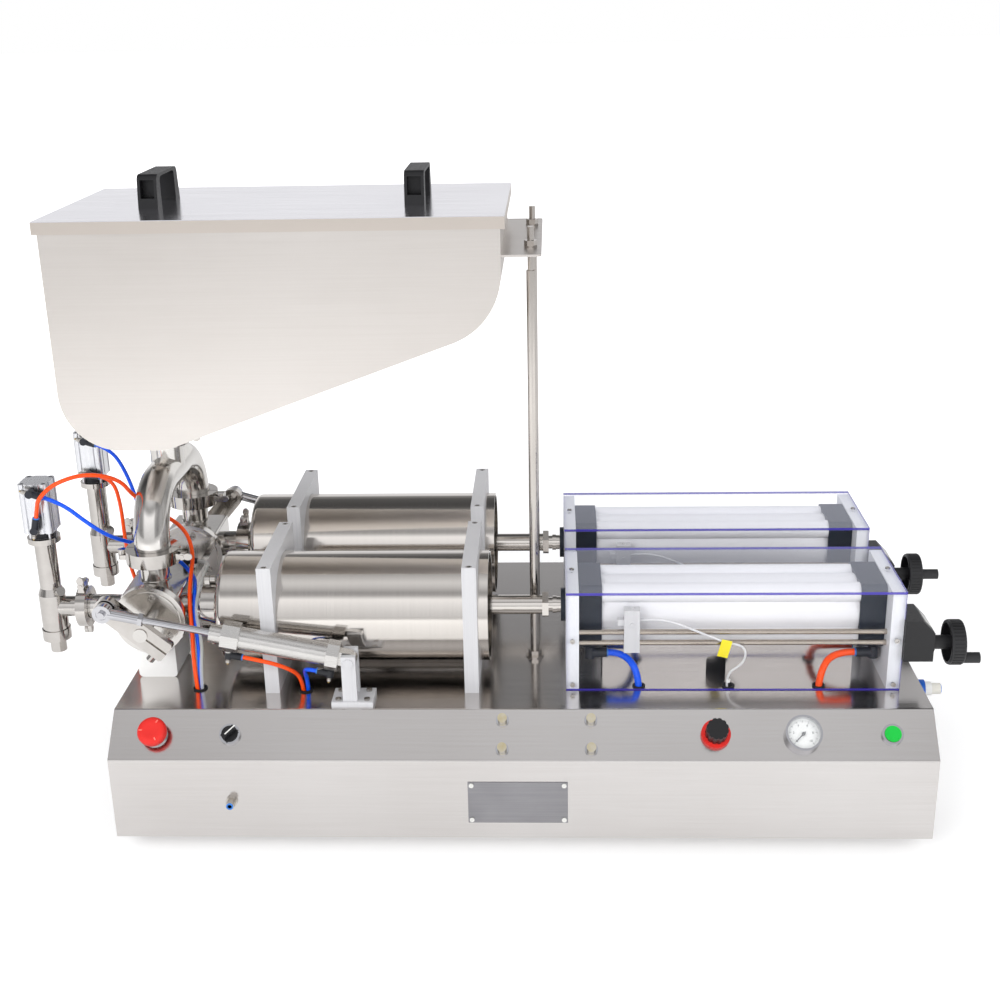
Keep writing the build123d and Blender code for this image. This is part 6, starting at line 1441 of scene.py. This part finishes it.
    def cable(self, unit: Unit) -> Tube:
        """The sensor cable, which follows its carrier."""
        x, middle, hole_y = self.cable_x, unit.axis_y + SIDE_OFFSET, unit.axis_y + self.cable_hole
        run = ((82, 284), (119, 268), (148, 262), (147, 236), (119, 218))
        points = [(x, middle, 297), (x + 20, middle - 2, 300), (x + 48, middle - 7, 297),
                  *((x + along, hole_y, z) for along, z in run), (328.5, hole_y, 190)]
        return Tube(f"{unit.name}_sensor_cable", TubeKind.CABLE, "sensor_cables", points, 234.0,
                    (f"{unit.name}_carrier", (322.0, hole_y, 262), points[0]),
                    self.cable_tag(hole_y) if unit is FRONT else ())

    def cable_tag(self, hole_y: float) -> tuple[Piece, ...]:
        """Hang the blank yellow tag on the front cable and bind its foot with a white strap.

        Args:
            hole_y: How deep the cable's hole lies.

        Returns:
            The tag and the strap.
        """
        place = moved(321.5, hole_y - 2.4, 259.5) @ Matrix.Rotation(math.radians(14), 4, "Y")
        tag = rounded_box("cable_tag", (15.0, 1.2, 26.5), place, "yellow_tag", 0.5)
        profile = [(-2.2, 1.5), (-2.2, 2.8), (2.2, 2.8), (2.2, 1.5), (-2.2, 1.5)]
        foot = place_at((328.3, hole_y, 208.5), (0.1, 0, 1))
        strap = lathe("cable_strap", profile, foot, "white_plastic", 24)
        declare(tag, "red_plastic")
        declare(strap, "white_plastic")
        return tag, strap

    def clear_hose(self) -> Tube:
        """The clear hose from the bridge between the valves."""
        fx, fy = self.front_hole
        return Tube("clear_bridge_hose", TubeKind.CLEAR, "clear_hose", [
            (-449.1, -25, 338), (-431, -28, 338), (-429.5, -62, 336), (-429.5, -100, 330), (-429, -138, 306),
            (-418, -156, 266), (fx + 3.2, fy - 1.9, 228), (fx + 3.2, fy - 1.9, 192)], 252.8)

    def adjusters(self, unit: Unit, part: str, mouths: Mouths, body: str) -> None:
        """Set the small adjusting screws of a cylinder's elbows.

        Args:
            unit: The filling unit.
            part: What the elbows are on.
            mouths: Their mouths.
            body: The body that the screws move with.
        """
        sleeve = [(3.6, 0), (3.6, 3.5), (7.4, 3.5), (7.4, 2.5), (8.4, 2.5), (8.4, 3.3), (11.8, 3.3),
                  (12.4, 2.7), (12.4, 0)]
        tip = [(12.2, 0), (12.2, 1.5), (14.6, 1.5), (14.6, 0)]
        for index, (mouth, way) in enumerate(mouths, 1):
            down = Vector((way.z, 0, -way.x)) * math.copysign(1, way.x)
            place = place_at(mouth - way * self.thin_reach, -way if part == "nozzle" else down)
            for name, profile, finish in (("sleeve", sleeve, "nickel"), ("tip", tip, "brass")):
                declare(lathe(f"{unit.name}_{part}_adjuster_{index}_{name}", profile, place, finish, 24),
                        "brass_nickel", body)

    def rings(self, unit: Unit, part: str, mouths: Mouths, size: float, body: str) -> None:
        """Set release rings round fittings' mouths.

        Args:
            unit: The filling unit.
            part: What the fittings are on.
            mouths: Their mouths.
            size: The radius of a fitting's body.
            body: The body that the rings move with.
        """
        outer, inner = 0.86 * size, 0.60 * size
        profile = [(-0.6, inner), (-2.6, inner), (-2.6, outer - 0.6), (-0.5, outer), (0.1, outer - 0.3),
                   (0.2, inner + 0.2), (-0.6, inner)]
        for index, (mouth, way) in enumerate(mouths, 1):
            name = f"{unit.name}_{part}_ring_{index}"
            declare(lathe(name, profile, place_at(mouth, way), "release_ring", 32), "blue_tube", body)

    def wall_rings(self) -> None:
        """Set the blue rings in the pedal socket and the air inlet."""
        for name, mouth, way, inner, outer in (
                ("pedal_socket_ring", self.pedal_mouth, (0, -1, 0), 3.1, 4.9),
                ("air_inlet_ring", self.inlet_mouth, (1, 0, 0), 4.2, 7.0)):
            profile = [(-0.6, inner), (1.2, inner), (1.2, outer - 0.4), (0.8, outer), (-0.6, outer),
                       (-0.6, inner)]
            declare(lathe(name, profile, place_at(mouth, way), "release_ring", 32), "blue_tube")

    def build(self) -> None:
        """Make every tube, ring and adjusting screw."""
        tubes = self.nozzle_tubes()
        for find in (self.drive_tubes, self.swing_hoses):
            tubes += [tube for unit in UNITS for tube in find(unit)]
        for tube in (*tubes, *[self.cable(unit) for unit in UNITS], self.clear_hose()):
            tube.build()
        for unit in UNITS:
            self.adjusters(unit, "nozzle", self.nozzle_mouths(unit), "machine")
            self.adjusters(unit, "swing", self.swing_mouths(unit), f"{unit.name}_swing_cylinder")
        for unit in UNITS:
            self.rings(unit, "nozzle", self.nozzle_mouths(unit), self.thin_body, "machine")
            self.rings(unit, "drive", self.drive_mouths(unit), self.wide_body, "machine")
            self.rings(unit, "swing", self.swing_mouths(unit), self.thin_body,
                       f"{unit.name}_swing_cylinder")
        self.wall_rings()
        log.info("release rings, adjusting screws and mouths")


@dataclass
class SizeBook:
    """Writes the CAD box and the dressed model's box."""

    path: str = "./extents.json"
    cad: list[list[float]] = field(default_factory=list)

    def start(self) -> None:
        """Keep the CAD box."""
        self.cad = [list(corner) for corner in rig.bounds()]

    def write(self) -> None:
        """Write both boxes as plain lists."""
        dressed = [list(corner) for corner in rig.bounds()]
        with open(self.path, "w") as out:
            json.dump({"cad": self.cad, "visual": dressed}, out)


def main() -> None:
    """Load the frame, set the studio and build every assembly in order."""
    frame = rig.load()
    sizes = SizeBook()
    sizes.start()
    Studio().build()
    Pneumatics().build()
    CadDress().build(frame["nodes"])
    for assembly in (ClearCovers(), Fasteners(), Controls(), BlankPlate(), DriveEnds()):
        assembly.build()
    sizes.write()


if __name__ == "__main__":
    main()
